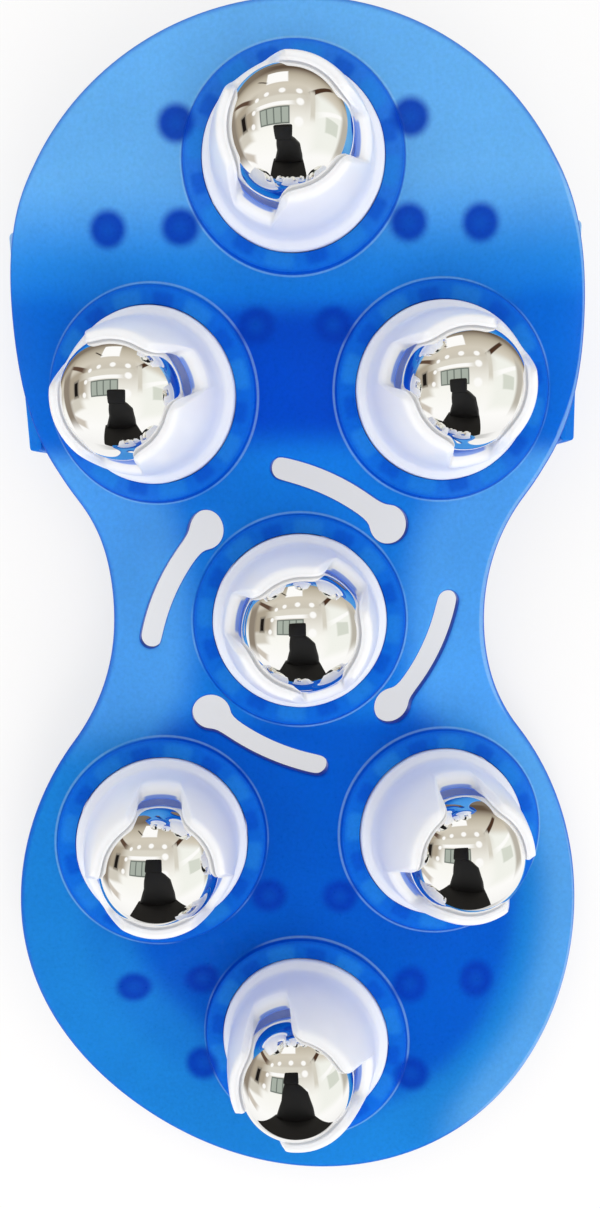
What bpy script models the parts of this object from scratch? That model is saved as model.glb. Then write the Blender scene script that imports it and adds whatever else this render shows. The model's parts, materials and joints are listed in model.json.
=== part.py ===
"""Roller ball massage glove: a soft figure-eight plate that carries seven
steel balls in white cages, with a strap behind the upper lobe for the hand.

It lies as on a table, balls up, on its strap and on the edge of the lower
lobe. +X is its right, +Y runs to the upper lobe and +Z is up. Lengths are in
metres and angles in degrees.
"""
import math

import bmesh
import bpy
import numpy as np
from mathutils import Matrix, Vector

# Fits
FIT_GAP = 0.0003
BALL_CLEARANCE = 0.00035
CUT_OVERRUN = 0.004
WELD_DISTANCE = 0.000001

# Ball and the cage round it. Heights are above the plate's front face.
BALL_RADIUS = 0.00873
BALL_HEIGHT = 0.0130
RIM_RISE = 0.0043
RIM_WALL = 0.0015
RIM_ROUND = 0.0006
DOME_WALL = 0.0027
DOME_POWER = 1.8
SKIRT_LEDGE = 0.0015
SKIRT_HEIGHT = 0.0014
LEDGE_RISE = 0.0009
CLAW_COUNT = 3
NOTCH_WIDTH = 0.0065
NOTCH_DEPTH = 0.0035
NOTCH_ROUND = 0.0014
LUG_COUNT = 8
LUG_REACH = 0.0022
LUG_WIDTH = 0.0044
LUG_THICKNESS = 0.0010
LUG_TURN = -9.0

# Cap behind the ball
CAP_LIP_WALL = 0.0012
CAP_SEAT_DEPTH = 0.0015
CAP_PROUD = 0.0006
CAP_CHAMFER = 0.0005
SEAT_DROP = 0.0062

# Plate
PLATE_THICKNESS = 0.0030
EDGE_ROUND = 0.0010
RING_WIDTH = 0.0026
RING_HEIGHT = 0.0010

# Land: the plate left between a lobe's two side rings, between those and the
# middle ring, and between a ring and the edge of its lobe
SIDES_LAND = 0.0115
MIDDLE_LAND = 0.0084
END_LAND = 0.0061
SIDE_LAND = 0.0037
SIDE_STATION_ANGLE = -27.0

# Flex slots round the middle station
SLOT_COUNT = 4
SLOT_LAND = 0.0008
SLOT_END_RADIUS = 0.0030
SLOT_HALF_WIDTH = 0.0017
SLOT_SPREAD = 0.0032
SLOT_BOW = 0.0013
SLOT_START = 46.0
SLOT_SWEEP = 50.0
WAIST_LAND = 0.0041

# Nubs on the hand side: places from the middle of their lobe
NUB_RADIUS = 0.00265
NUB_HEIGHT = 0.0012
NUB_ROW_PITCH = 0.0145
NUB_COLUMN_PITCH = 0.0110
NUB_ROW_START = -0.0015
# Row, then columns from the middle line, both counted in pitches
NUB_PLACE_SHARES = ((0, 0.5), (1, 1.52), (1, 2.49), (2, 1.54))

# Hand strap
STRAP_WIDTH = 0.032
STRAP_THICKNESS = 0.0024
STRAP_CORNER = 0.014
STRAP_EDGE_ROUND = 0.0006
STRAP_INSET = 0.0012
STRAP_SHIFT = 0.0022

# Attitude on the table, and how far the strap draws the upper lobe's sides
# back at their edges
TILT = 7.2
SIDE_CURL = 45.0

# Each station's lean: the way its ball tips, towards +X and towards +Y. The
# soft plate bends to let it. The turn is where its first notch points.
STATIONS = {
    "top": {"lobe": 1, "side": 0, "lean": (-2.3, -2.0), "turn": 0.0},
    "upper_left": {"lobe": 1, "side": -1, "lean": (-10.9, -5.0), "turn": 20.0},
    "upper_right": {"lobe": 1, "side": 1, "lean": (5.3, -1.7), "turn": 41.0},
    "centre": {"lobe": 0, "side": 0, "lean": (1.9, 1.5), "turn": 48.0},
    "lower_left": {"lobe": -1, "side": -1, "lean": (5.0, 3.3), "turn": 88.0},
    "lower_right": {"lobe": -1, "side": 1, "lean": (8.9, 3.3), "turn": 92.0},
    "bottom": {"lobe": -1, "side": 0, "lean": (-6.8, 2.9), "turn": 114.0},
}

# Fineness of the round shapes
LOBE_STEPS = 36
WAIST_STEPS = 8
TURN_STEPS = 24
RING_STEPS = 28
BALL_SEGMENTS = 18
BALL_RINGS = 11
NUB_STEPS = 10
DOME_STEPS = 3
SLOT_STEPS = 7
CORNER_STEPS = 5
PLATE_GRID = 9

# Worked-out sizes
SOCKET_RADIUS = BALL_RADIUS + BALL_CLEARANCE
DOME_RADIUS = SOCKET_RADIUS + DOME_WALL
SKIRT_RADIUS = DOME_RADIUS + SKIRT_LEDGE
HOLE_RADIUS = SKIRT_RADIUS + FIT_GAP
RING_RADIUS = HOLE_RADIUS + RING_WIDTH
LUG_RADIUS = SKIRT_RADIUS + LUG_REACH
GROOVE_RADIUS = math.hypot(LUG_RADIUS, LUG_WIDTH / 2) + FIT_GAP
RIM_HEIGHT = BALL_HEIGHT + RIM_RISE
RIM_INNER = math.sqrt(SOCKET_RADIUS**2 - RIM_RISE**2)
RIM_OUTER = RIM_INNER + RIM_WALL
LUG_MIDDLE = -PLATE_THICKNESS / 2
CAP_SEAT_RADIUS = SKIRT_RADIUS - CAP_LIP_WALL
STIFF_RADIUS = RING_RADIUS + FIT_GAP
SIDE_ANGLE = math.radians(SIDE_STATION_ANGLE)
SIDE_X = RING_RADIUS + SIDES_LAND / 2
SIDE_Y = math.sqrt((2 * RING_RADIUS + MIDDLE_LAND) ** 2 - SIDE_X**2)
SIDE_REACH = SIDE_X / math.cos(SIDE_ANGLE)
LOBE_RADIUS = SIDE_REACH + RING_RADIUS + SIDE_LAND
LOBE_CENTRE = SIDE_Y - SIDE_REACH * math.sin(SIDE_ANGLE)
END_Y = LOBE_CENTRE + LOBE_RADIUS - END_LAND - RING_RADIUS
SLOT_NEAR = RING_RADIUS + SLOT_LAND + SLOT_END_RADIUS
SLOT_FAR = SLOT_NEAR + SLOT_SPREAD
WAIST = SLOT_FAR + SLOT_HALF_WIDTH + WAIST_LAND
WAIST_RADIUS = (WAIST**2 + LOBE_CENTRE**2 - LOBE_RADIUS**2) / (2 * (LOBE_RADIUS - WAIST))

PLASTIC_BLUE = (0.010, 0.150, 0.700, 1.0)
PLASTIC_WHITE = (0.800, 0.800, 0.860, 1.0)
STEEL_BRIGHT = (0.820, 0.815, 0.800, 1.0)


def clear_scene():
    for thing in list(bpy.data.objects):
        bpy.data.objects.remove(thing, do_unlink=True)


def new_collection(name):
    collection = bpy.data.collections.new(name)
    bpy.context.scene.collection.children.link(collection)
    return collection


def new_material(name, colour, roughness, metallic=0.0):
    material = bpy.data.materials.new(name)
    material.use_nodes = True
    shader = material.node_tree.nodes["Principled BSDF"]
    shader.inputs["Base Color"].default_value = colour
    shader.inputs["Roughness"].default_value = roughness
    shader.inputs["Metallic"].default_value = metallic
    return material


def new_object(name, data, collection, matrix=None):
    thing = bpy.data.objects.new(name, data)
    collection.objects.link(thing)
    if matrix is not None:
        thing.matrix_world = matrix
    return thing


def make_cutter(thing):
    """Mark a shape that only cuts or joins others."""
    thing.hide_render = True
    thing.display_type = "WIRE"
    return thing


def baked(thing, collection, name):
    """The shape as its modifiers leave it, welded, in a plain mesh object."""
    bpy.context.view_layer.update()
    shown = thing.evaluated_get(bpy.context.evaluated_depsgraph_get())
    mesh = bpy.data.meshes.new_from_object(shown)
    mesh.name = name
    work = bmesh.new()
    work.from_mesh(mesh)
    bmesh.ops.remove_doubles(work, verts=work.verts, dist=WELD_DISTANCE)
    work.to_mesh(mesh)
    work.free()
    matrix = thing.matrix_world.copy()
    bpy.data.objects.remove(thing, do_unlink=True)
    return new_object(name, mesh, collection, matrix)


def arc(centre, radius, start, end, steps, ended=False):
    """Points along an arc. Its end point is left for the next stretch,
    unless the arc is to be ended there."""
    count = steps + 1 if ended else steps
    angles = np.linspace(start, end, count, endpoint=ended)
    return [(centre[0] + radius * math.cos(a), centre[1] + radius * math.sin(a)) for a in angles]


def slab(name, outline, low, high, edge_round, collection):
    """A flat plate with the given outline, rounded at its edges."""
    curve = bpy.data.curves.new(name, "CURVE")
    curve.dimensions = "2D"
    curve.fill_mode = "BOTH"
    curve.extrude = (high - low) / 2 - edge_round
    curve.bevel_depth = edge_round
    curve.bevel_resolution = 1
    spline = curve.splines.new("POLY")
    spline.points.add(len(outline) - 1)
    for point, place in zip(spline.points, outline):
        point.co = (*place, 0.0, 1.0)
    spline.use_cyclic_u = True
    thing = new_object(name, curve, collection, Matrix.Translation((0.0, 0.0, (low + high) / 2)))
    thing = baked(thing, collection, name)
    thing.data.transform(thing.matrix_world)
    thing.matrix_world = Matrix.Identity(4)
    return thing


def turned(name, profile, steps, collection, closed=False):
    """A turned shape from a profile that runs down its outer side."""
    work = bmesh.new()
    points = [work.verts.new((radius, 0.0, height)) for radius, height in profile]
    for first, second in zip(points, points[1:]):
        work.edges.new((first, second))
    if closed:
        work.edges.new((points[-1], points[0]))
    mesh = bpy.data.meshes.new(name)
    work.to_mesh(mesh)
    work.free()
    thing = new_object(name, mesh, collection)
    screw = thing.modifiers.new("turn", "SCREW")
    screw.axis = "Z"
    screw.steps = steps
    screw.render_steps = steps
    screw.use_merge_vertices = True
    screw.merge_threshold = WELD_DISTANCE
    return thing


def combine(thing, other, operation, name):
    """Join the other shape to this one, or cut it out."""
    boolean = thing.modifiers.new(name, "BOOLEAN")
    boolean.operation = operation
    boolean.object = other
    boolean.solver = "EXACT"
    return boolean


def scattered(name, mesh, matrices, collection):
    """One object that holds a copy of a mesh at each place."""
    work = bmesh.new()
    for matrix in matrices:
        copy = mesh.copy()
        copy.transform(matrix)
        work.from_mesh(copy)
        bpy.data.meshes.remove(copy)
    joined = bpy.data.meshes.new(name)
    work.to_mesh(joined)
    work.free()
    return new_object(name, joined, collection)


def shade(thing, material, angle):
    thing.data.materials.clear()
    thing.data.materials.append(material)
    thing.data.shade_smooth()
    thing.data.set_sharp_from_angle(angle=math.radians(angle))


def station_place(station):
    """Where a station's middle lies on the flat plate."""
    along = SIDE_Y if station["side"] else END_Y
    return Vector((station["side"] * SIDE_X, station["lobe"] * along, 0.0))


def station_slopes(station):
    """How the plate's height changes along X and Y at a leaning station."""
    return np.array([-math.tan(math.radians(lean)) for lean in station["lean"]])


def station_heights():
    """The least bending that joins the leaning stations. The three on the
    middle line stay in the plate's plane, and the others rise or sink."""
    names = list(STATIONS)
    rows = []
    rises = []
    for i, first in enumerate(names):
        for j in range(i):
            step = station_place(STATIONS[first]) - station_place(STATIONS[names[j]])
            step = np.array(step.xy)
            slope = (station_slopes(STATIONS[first]) + station_slopes(STATIONS[names[j]])) / 2
            weight = (LOBE_RADIUS / np.linalg.norm(step)) ** 2
            row = np.zeros(len(names))
            row[i] = weight
            row[j] = -weight
            rows.append(row)
            rises.append(weight * float(slope @ step))
    free = [i for i, name in enumerate(names) if STATIONS[name]["side"] != 0]
    heights = np.zeros(len(names))
    heights[free] = np.linalg.lstsq(np.array(rows)[:, free], np.array(rises), rcond=None)[0]
    return dict(zip(names, heights))


def station_frames():
    """Each station's place and lean as a matrix over the flat plate."""
    frames = {}
    heights = station_heights()
    for name, station in STATIONS.items():
        to_right, to_top = (math.radians(lean) for lean in station["lean"])
        lean = Matrix.Rotation(to_right, 4, "Y") @ Matrix.Rotation(-to_top, 4, "X")
        lift = Vector((0.0, 0.0, heights[name]))
        frames[name] = Matrix.Translation(station_place(station) + lift) @ lean
    return frames


FRAMES = station_frames()
BENDS = [(station_place(STATIONS[name]), frame @ Matrix.Translation(-station_place(STATIONS[name])))
         for name, frame in FRAMES.items()]


def drawn_back(point):
    """Where the strap draws a point of the upper lobe's sides: round an arc
    that starts beyond the rings, and straight on past the lobe's edge."""
    start = SIDE_X + STIFF_RADIUS
    beyond = abs(point.x) - start
    if beyond <= 0 or point.y <= 0:
        return point
    stretch = LOBE_RADIUS - start
    curl = math.radians(SIDE_CURL) * min(beyond / stretch, 1.0)
    radius = stretch / math.radians(SIDE_CURL)
    past = max(beyond - stretch, 0.0)
    over_middle = radius + point.z - LUG_MIDDLE
    across = start + over_middle * math.sin(curl) + past * math.cos(curl)
    height = LUG_MIDDLE - radius + over_middle * math.cos(curl) - past * math.sin(curl)
    return Vector((math.copysign(across, point.x), point.y, height))


def bent(point):
    """Where a point of the flat plate goes when the plate bends. Inside a
    station's ring it follows that station, and between rings it blends."""
    pulls = []
    for place, bend in BENDS:
        away = (point.xy - place.xy).length - STIFF_RADIUS
        if away <= 0:
            return bend @ point
        pulls.append((1 / away**2, bend))
    total = sum(pull for pull, bend in pulls)
    point = drawn_back(point)
    return sum((pull / total * (bend @ point) for pull, bend in pulls), Vector((0.0, 0.0, 0.0)))


def bend_mesh(mesh):
    for vertex in mesh.vertices:
        vertex.co = bent(vertex.co)
    mesh.update()


def split_faces(mesh, triangles):
    """Divide the wide flat faces, so that they can bend."""
    work = bmesh.new()
    work.from_mesh(mesh)
    if triangles:
        bmesh.ops.triangulate(work, faces=work.faces)
    else:
        bmesh.ops.dissolve_limit(work, angle_limit=math.radians(1.0), verts=work.verts, edges=work.edges)
        half = LOBE_CENTRE + LOBE_RADIUS
        for normal in (Vector((1.0, 0.0, 0.0)), Vector((0.0, 1.0, 0.0))):
            for place in np.linspace(-half, half, 2 * PLATE_GRID):
                bmesh.ops.bisect_plane(
                    work,
                    geom=work.verts[:] + work.edges[:] + work.faces[:],
                    dist=WELD_DISTANCE,
                    plane_co=normal * float(place),
                    plane_no=normal,
                )
    work.to_mesh(mesh)
    work.free()


def plate_outline(grow):
    """The figure eight: two lobes and the hollow arcs of the waist."""
    middle = WAIST + WAIST_RADIUS
    tangent = math.atan2(LOBE_CENTRE, middle)
    lobe = LOBE_RADIUS + grow
    hollow = WAIST_RADIUS - grow
    points = arc((0.0, LOBE_CENTRE), lobe, -tangent, math.pi + tangent, LOBE_STEPS)
    points += arc((-middle, 0.0), hollow, tangent, -tangent, WAIST_STEPS)
    points += arc((0.0, -LOBE_CENTRE), lobe, math.pi - tangent, 2 * math.pi + tangent, LOBE_STEPS)
    points += arc((middle, 0.0), hollow, math.pi + tangent, math.pi - tangent, WAIST_STEPS)
    return points


def slot_outline():
    """One curved slot of even width, with round ends."""
    start = math.radians(SLOT_START)
    end = math.radians(SLOT_START + SLOT_SWEEP)
    near = Vector((SLOT_NEAR * math.cos(start), SLOT_NEAR * math.sin(start)))
    far = Vector((SLOT_FAR * math.cos(end), SLOT_FAR * math.sin(end)))
    chord = far - near
    radius = (chord.length**2 / 4 + SLOT_BOW**2) / (2 * SLOT_BOW)
    inward = Vector((-chord.y, chord.x)).normalized()
    centre = (near + far) / 2 + inward * (radius - SLOT_BOW)
    first = math.atan2(near.y - centre.y, near.x - centre.x)
    half = math.asin(chord.length / 2 / radius)
    last = first + 2 * half
    points = arc(centre, radius + SLOT_HALF_WIDTH, first, last, SLOT_STEPS)
    points += arc(far, SLOT_HALF_WIDTH, last, last + math.pi, SLOT_STEPS)
    points += arc(centre, radius - SLOT_HALF_WIDTH, last, first, SLOT_STEPS)
    points += arc(near, SLOT_HALF_WIDTH, first + math.pi, first + 2 * math.pi, SLOT_STEPS)
    return points, near


def nub_places():
    places = []
    for row, column in NUB_PLACE_SHARES:
        along = LOBE_CENTRE + NUB_ROW_START + row * NUB_ROW_PITCH
        across = column * NUB_COLUMN_PITCH
        places += [(x, y) for x in (-across, across) for y in (-along, along)]
    return places


def make_plate(parts, cutters, material):
    """The soft plate: slab, rings, grooved holes, slots and nubs, then the
    bend that its leaning stations give it."""
    places = [Matrix.Translation(station_place(station)) for station in STATIONS.values()]
    plate = slab("glove_plate", plate_outline(-EDGE_ROUND), -PLATE_THICKNESS, 0.0, EDGE_ROUND, parts)
    split_faces(plate.data, triangles=False)

    shoulder = arc((RING_RADIUS - RING_HEIGHT, 0.0), RING_HEIGHT, math.pi / 2, 0.0, 3)
    ring_profile = [
        (0.0, RING_HEIGHT),
        *shoulder,
        (RING_RADIUS, 0.0),
        (RING_RADIUS, LUG_MIDDLE),
        (0.0, LUG_MIDDLE),
    ]
    ring = baked(turned("ring", ring_profile, RING_STEPS, cutters), cutters, "ring")
    rings = make_cutter(scattered("rings", ring.data, places, cutters))
    bpy.data.objects.remove(ring, do_unlink=True)

    groove_top = LUG_MIDDLE + LUG_THICKNESS / 2 + FIT_GAP
    groove_bottom = LUG_MIDDLE - LUG_THICKNESS / 2 - FIT_GAP
    hole_top = RING_HEIGHT + CUT_OVERRUN
    hole_bottom = -PLATE_THICKNESS - CUT_OVERRUN
    hole_profile = [
        (0.0, hole_top),
        (HOLE_RADIUS, hole_top),
        (HOLE_RADIUS, groove_top),
        (GROOVE_RADIUS, groove_top),
        (GROOVE_RADIUS, groove_bottom),
        (HOLE_RADIUS, groove_bottom),
        (HOLE_RADIUS, hole_bottom),
        (0.0, hole_bottom),
    ]
    hole = baked(turned("hole", hole_profile, RING_STEPS, cutters), cutters, "hole")
    holes = make_cutter(scattered("holes", hole.data, places, cutters))
    bpy.data.objects.remove(hole, do_unlink=True)

    outline, near = slot_outline()
    quarters = [Matrix.Rotation(math.tau * k / SLOT_COUNT, 4, "Z") for k in range(SLOT_COUNT)]
    slot = slab("slot", outline, hole_bottom, hole_top, 0.0, cutters)
    slots = make_cutter(scattered("slots", slot.data, quarters, cutters))
    bpy.data.objects.remove(slot, do_unlink=True)
    bpy.ops.mesh.primitive_cylinder_add(
        vertices=TURN_STEPS,
        radius=SLOT_END_RADIUS,
        depth=hole_top - hole_bottom,
        location=(near.x, near.y, (hole_top + hole_bottom) / 2),
    )
    slot_end = bpy.context.object
    slot_end.data.transform(slot_end.matrix_world)
    slot_ends = make_cutter(scattered("slot_ends", slot_end.data, quarters, cutters))
    bpy.data.objects.remove(slot_end, do_unlink=True)

    nub_bottom = -PLATE_THICKNESS - NUB_HEIGHT
    nub_flat = NUB_RADIUS - NUB_HEIGHT
    nub_profile = [
        (0.0, LUG_MIDDLE),
        (NUB_RADIUS, LUG_MIDDLE),
        *arc((nub_flat, -PLATE_THICKNESS), NUB_HEIGHT, 0.0, -math.pi / 2, 2),
        (nub_flat, nub_bottom),
        (0.0, nub_bottom),
    ]
    nub = baked(turned("nub", nub_profile, NUB_STEPS, cutters), cutters, "nub")
    nubs = [Matrix.Translation((*place, 0.0)) for place in nub_places()]
    nub_group = make_cutter(scattered("nubs", nub.data, nubs, cutters))
    bpy.data.objects.remove(nub, do_unlink=True)

    for other, operation in (
        (rings, "UNION"),
        (nub_group, "UNION"),
        (holes, "DIFFERENCE"),
        (slots, "DIFFERENCE"),
        (slot_ends, "DIFFERENCE"),
    ):
        combine(plate, other, operation, other.name)
        plate = baked(plate, parts, "glove_plate")
    split_faces(plate.data, triangles=True)
    bend_mesh(plate.data)
    shade(plate, material, 35)
    return plate


def cage_profile():
    """The cage's wall, down its outer side and up its bore."""
    foot = SKIRT_HEIGHT + LEDGE_RISE
    shares = np.linspace(1.0, 0.0, DOME_STEPS + 1)
    top = RIM_HEIGHT - RIM_ROUND
    points = [(RIM_INNER, RIM_HEIGHT), (RIM_OUTER - RIM_ROUND, RIM_HEIGHT)]
    for share in shares:
        narrowing = (DOME_RADIUS - RIM_OUTER) * share**DOME_POWER
        points.append((DOME_RADIUS - narrowing, foot + (top - foot) * share))
    points += [
        (SKIRT_RADIUS, SKIRT_HEIGHT),
        (SKIRT_RADIUS, -PLATE_THICKNESS),
        (CAP_SEAT_RADIUS, -PLATE_THICKNESS),
        (CAP_SEAT_RADIUS, -PLATE_THICKNESS + CAP_SEAT_DEPTH),
        (SOCKET_RADIUS, -PLATE_THICKNESS + CAP_SEAT_DEPTH),
        (SOCKET_RADIUS, BALL_HEIGHT),
    ]
    rise = math.asin(RIM_RISE / SOCKET_RADIUS)
    points.append((SOCKET_RADIUS * math.cos(rise / 2), BALL_HEIGHT + SOCKET_RADIUS * math.sin(rise / 2)))
    return points


def make_cage_mesh(cutters):
    """The white cage: a turned wall, its notches and its eight lugs."""
    cage = turned("cage", cage_profile(), TURN_STEPS, cutters, closed=True)

    lug_inner = (CAP_SEAT_RADIUS + SKIRT_RADIUS) / 2
    bpy.ops.mesh.primitive_cube_add(size=1.0)
    lug = bpy.context.object
    lug.data.transform(
        Matrix.Translation(((lug_inner + LUG_RADIUS) / 2, 0.0, LUG_MIDDLE))
        @ Matrix.Diagonal((LUG_RADIUS - lug_inner, LUG_WIDTH, LUG_THICKNESS, 1.0))
    )
    turns = [math.radians(LUG_TURN) + math.tau * k / LUG_COUNT for k in range(LUG_COUNT)]
    lugs = make_cutter(scattered("lugs", lug.data, [Matrix.Rotation(a, 4, "Z") for a in turns], cutters))
    bpy.data.objects.remove(lug, do_unlink=True)

    floor = BALL_HEIGHT - NOTCH_DEPTH
    top = RIM_HEIGHT + CUT_OVERRUN
    bpy.ops.mesh.primitive_cube_add(size=1.0)
    notch = bpy.context.object
    notch.data.transform(
        Matrix.Translation(((BALL_RADIUS + SKIRT_RADIUS) / 2, 0.0, (floor + top) / 2))
        @ Matrix.Diagonal((SKIRT_RADIUS, NOTCH_WIDTH, top - floor, 1.0))
    )
    work = bmesh.new()
    work.from_mesh(notch.data)
    low = []
    for edge in work.edges:
        first, second = (vertex.co for vertex in edge.verts)
        if max(first.z, second.z) < BALL_HEIGHT and abs(first.y - second.y) < WELD_DISTANCE:
            low.append(edge)
    bmesh.ops.bevel(work, geom=low, offset=NOTCH_ROUND, segments=2, profile=0.5, affect="EDGES")
    work.to_mesh(notch.data)
    work.free()
    thirds = [Matrix.Rotation(math.tau * k / CLAW_COUNT, 4, "Z") for k in range(CLAW_COUNT)]
    notches = make_cutter(scattered("notches", notch.data, thirds, cutters))
    bpy.data.objects.remove(notch, do_unlink=True)

    combine(cage, lugs, "UNION", "flange_lugs")
    combine(cage, notches, "DIFFERENCE", "notches")
    return baked(cage, cutters, "cage")


def make_cap_mesh(cutters):
    """The cap behind the ball: a disc in the cage's back, and a post whose
    hollow end carries the ball."""
    disc = CAP_SEAT_RADIUS - FIT_GAP
    disc_top = -PLATE_THICKNESS + CAP_SEAT_DEPTH - FIT_GAP
    disc_bottom = -PLATE_THICKNESS - CAP_PROUD
    post = SOCKET_RADIUS - FIT_GAP
    post_top = BALL_HEIGHT - SEAT_DROP
    bottom = math.pi / 2
    start = math.asin(SEAT_DROP / SOCKET_RADIUS)
    dish = []
    for share in (1.0, 0.5, 0.0):
        angle = bottom - share * (bottom - start)
        dish.append((SOCKET_RADIUS * math.cos(angle), BALL_HEIGHT - SOCKET_RADIUS * math.sin(angle)))
    dish[-1] = (0.0, BALL_HEIGHT - SOCKET_RADIUS)
    profile = [
        *reversed(dish),
        (post, post_top),
        (post, disc_top),
        (disc, disc_top),
        (disc, disc_bottom + CAP_CHAMFER),
        (disc - CAP_CHAMFER, disc_bottom),
        (0.0, disc_bottom),
    ]
    return baked(turned("cap", profile, TURN_STEPS, cutters), cutters, "cap")


def make_ball_mesh(cutters):
    bpy.ops.mesh.primitive_uv_sphere_add(segments=BALL_SEGMENTS, ring_count=BALL_RINGS, radius=BALL_RADIUS)
    return baked(bpy.context.object, cutters, "ball")


def make_strap(parts, cutters, plate_matrix, plate_box, material):
    """The hand strap: a band whose crown lies flat and whose walls rise to
    the plate. Outside the lobe their corners stand beside the plate."""
    outer = LOBE_RADIUS - STRAP_INSET
    inner = outer - STRAP_THICKNESS
    top = max((plate_matrix @ Vector(corner)).z for corner in plate_box) + CUT_OVERRUN
    middle = (plate_matrix @ Vector((0.0, LOBE_CENTRE - STRAP_SHIFT, -PLATE_THICKNESS))).y
    bend_at = outer - STRAP_CORNER
    outer -= STRAP_EDGE_ROUND
    inner += STRAP_EDGE_ROUND
    wide_bend = STRAP_CORNER - STRAP_EDGE_ROUND
    tight_bend = STRAP_CORNER - STRAP_THICKNESS + STRAP_EDGE_ROUND
    left, down, right = math.pi, 1.5 * math.pi, 2 * math.pi
    outline = [(-outer, top)]
    outline += arc((-bend_at, STRAP_CORNER), wide_bend, left, down, CORNER_STEPS, ended=True)
    outline += arc((bend_at, STRAP_CORNER), wide_bend, down, right, CORNER_STEPS, ended=True)
    outline += [(outer, top), (inner, top)]
    outline += arc((bend_at, STRAP_CORNER), tight_bend, right, down, CORNER_STEPS, ended=True)
    outline += arc((-bend_at, STRAP_CORNER), tight_bend, down, left, CORNER_STEPS, ended=True)
    outline.append((-inner, top))
    strap = slab("hand_strap", outline, -STRAP_WIDTH / 2, STRAP_WIDTH / 2, STRAP_EDGE_ROUND, parts)
    strap.data.transform(Matrix.Translation((0.0, middle, 0.0)) @ Matrix.Rotation(math.pi / 2, 4, "X"))

    room = slab("plate_room", plate_outline(FIT_GAP), -PLATE_THICKNESS - FIT_GAP, top, 0.0, cutters)
    side = LOBE_CENTRE + LOBE_RADIUS
    square = [(-side, -side), (side, -side), (side, side), (-side, side)]
    over = slab("over_plate", square, -EDGE_ROUND, top + FIT_GAP, 0.0, cutters)
    for cutter in (room, over):
        split_faces(cutter.data, triangles=False)
        split_faces(cutter.data, triangles=True)
        bend_mesh(cutter.data)
        cutter.matrix_world = plate_matrix
        make_cutter(cutter)
        combine(strap, cutter, "DIFFERENCE", cutter.name)
    strap = baked(strap, parts, "hand_strap")
    shade(strap, material, 30)
    return strap


def lay_down(plate):
    """Tilt the plate and set it so that the lowest point of its lower lobe
    touches the table and its middle is over the origin."""
    tilt = Matrix.Rotation(math.radians(TILT), 4, "X")
    points = np.array([tilt @ vertex.co for vertex in plate.data.vertices])
    low = points.min(axis=0)
    high = points.max(axis=0)
    shift = Vector((-(low[0] + high[0]) / 2, -(low[1] + high[1]) / 2, -low[2]))
    return Matrix.Translation(shift) @ tilt


def build():
    clear_scene()
    parts = new_collection("roller_ball_massage_glove")
    cutters = new_collection("cutters")
    blue = new_material("clear_blue_plastic", PLASTIC_BLUE, 0.3)
    white = new_material("white_plastic", PLASTIC_WHITE, 0.35)
    steel = new_material("polished_steel", STEEL_BRIGHT, 0.05, 1.0)

    plate = make_plate(parts, cutters, blue)
    plate_matrix = lay_down(plate)
    plate.matrix_world = plate_matrix
    make_strap(parts, cutters, plate_matrix, plate.bound_box, blue)

    cage = make_cage_mesh(cutters)
    cap = make_cap_mesh(cutters)
    ball = make_ball_mesh(cutters)
    for shape, material, angle in ((cage, white, 30), (cap, white, 30), (ball, steel, 60)):
        shade(shape, material, angle)
    for name, station in STATIONS.items():
        frame = plate_matrix @ FRAMES[name]
        turned_frame = frame @ Matrix.Rotation(math.radians(station["turn"]), 4, "Z")
        new_object("ball_cage_" + name, cage.data, parts, turned_frame)
        new_object("back_cap_" + name, cap.data, parts, turned_frame)
        centre = frame @ Matrix.Translation((0.0, 0.0, BALL_HEIGHT))
        new_object("roller_ball_" + name, ball.data, parts, centre)
    for shape in (cage, cap, ball):
        bpy.data.objects.remove(shape, do_unlink=True)
    bpy.context.view_layer.update()


build()
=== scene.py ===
# %% [markdown]
# # Roller ball massage glove
# A soft, frosted blue plate in the shape of a figure eight carries seven
# steel balls, each in a white cage with three claws. A strap behind the
# upper lobe takes the hand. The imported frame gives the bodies, the joints
# and the boxes, and the sizes below are the ones that the solids were built
# from. The cells dress that frame with finer meshes and the real finishes.

# %% Load the frame
import json
import math

import bmesh
import bpy
import numpy as np
from mathutils import Matrix, Vector


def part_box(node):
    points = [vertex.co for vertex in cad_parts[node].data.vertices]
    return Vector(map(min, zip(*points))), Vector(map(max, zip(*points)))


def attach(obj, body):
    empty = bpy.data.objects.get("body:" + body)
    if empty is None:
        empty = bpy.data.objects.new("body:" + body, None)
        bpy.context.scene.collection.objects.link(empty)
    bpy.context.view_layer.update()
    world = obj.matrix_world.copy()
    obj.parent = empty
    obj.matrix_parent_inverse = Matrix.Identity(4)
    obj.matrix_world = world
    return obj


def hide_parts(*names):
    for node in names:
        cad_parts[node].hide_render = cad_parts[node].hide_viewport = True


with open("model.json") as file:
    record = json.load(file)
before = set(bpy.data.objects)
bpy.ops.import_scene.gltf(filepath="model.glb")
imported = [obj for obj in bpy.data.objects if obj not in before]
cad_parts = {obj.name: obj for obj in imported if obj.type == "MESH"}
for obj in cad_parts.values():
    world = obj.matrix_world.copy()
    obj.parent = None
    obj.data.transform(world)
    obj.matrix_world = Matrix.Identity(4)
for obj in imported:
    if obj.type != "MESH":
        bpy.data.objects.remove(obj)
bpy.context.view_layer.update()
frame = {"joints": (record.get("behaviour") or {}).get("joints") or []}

# %% [markdown]
# ## The camera
# The picture was taken from close above, so the balls near its edges lean
# outwards. Only a camera at the real distance gives that, and a longer lens
# from further away would not. Distances are in metres, and the picture is
# 600 by 1208 pixels, of which only the height sets the lens.

# %% Camera
PICTURE_HEIGHT = 1208
FOCAL_PIXELS = 1072.0
CAMERA_PLACE = Vector((0.0002, 0.0024, 0.1794))
CAMERA_ROLL = 0.8
SENSOR = 36.0

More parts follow.
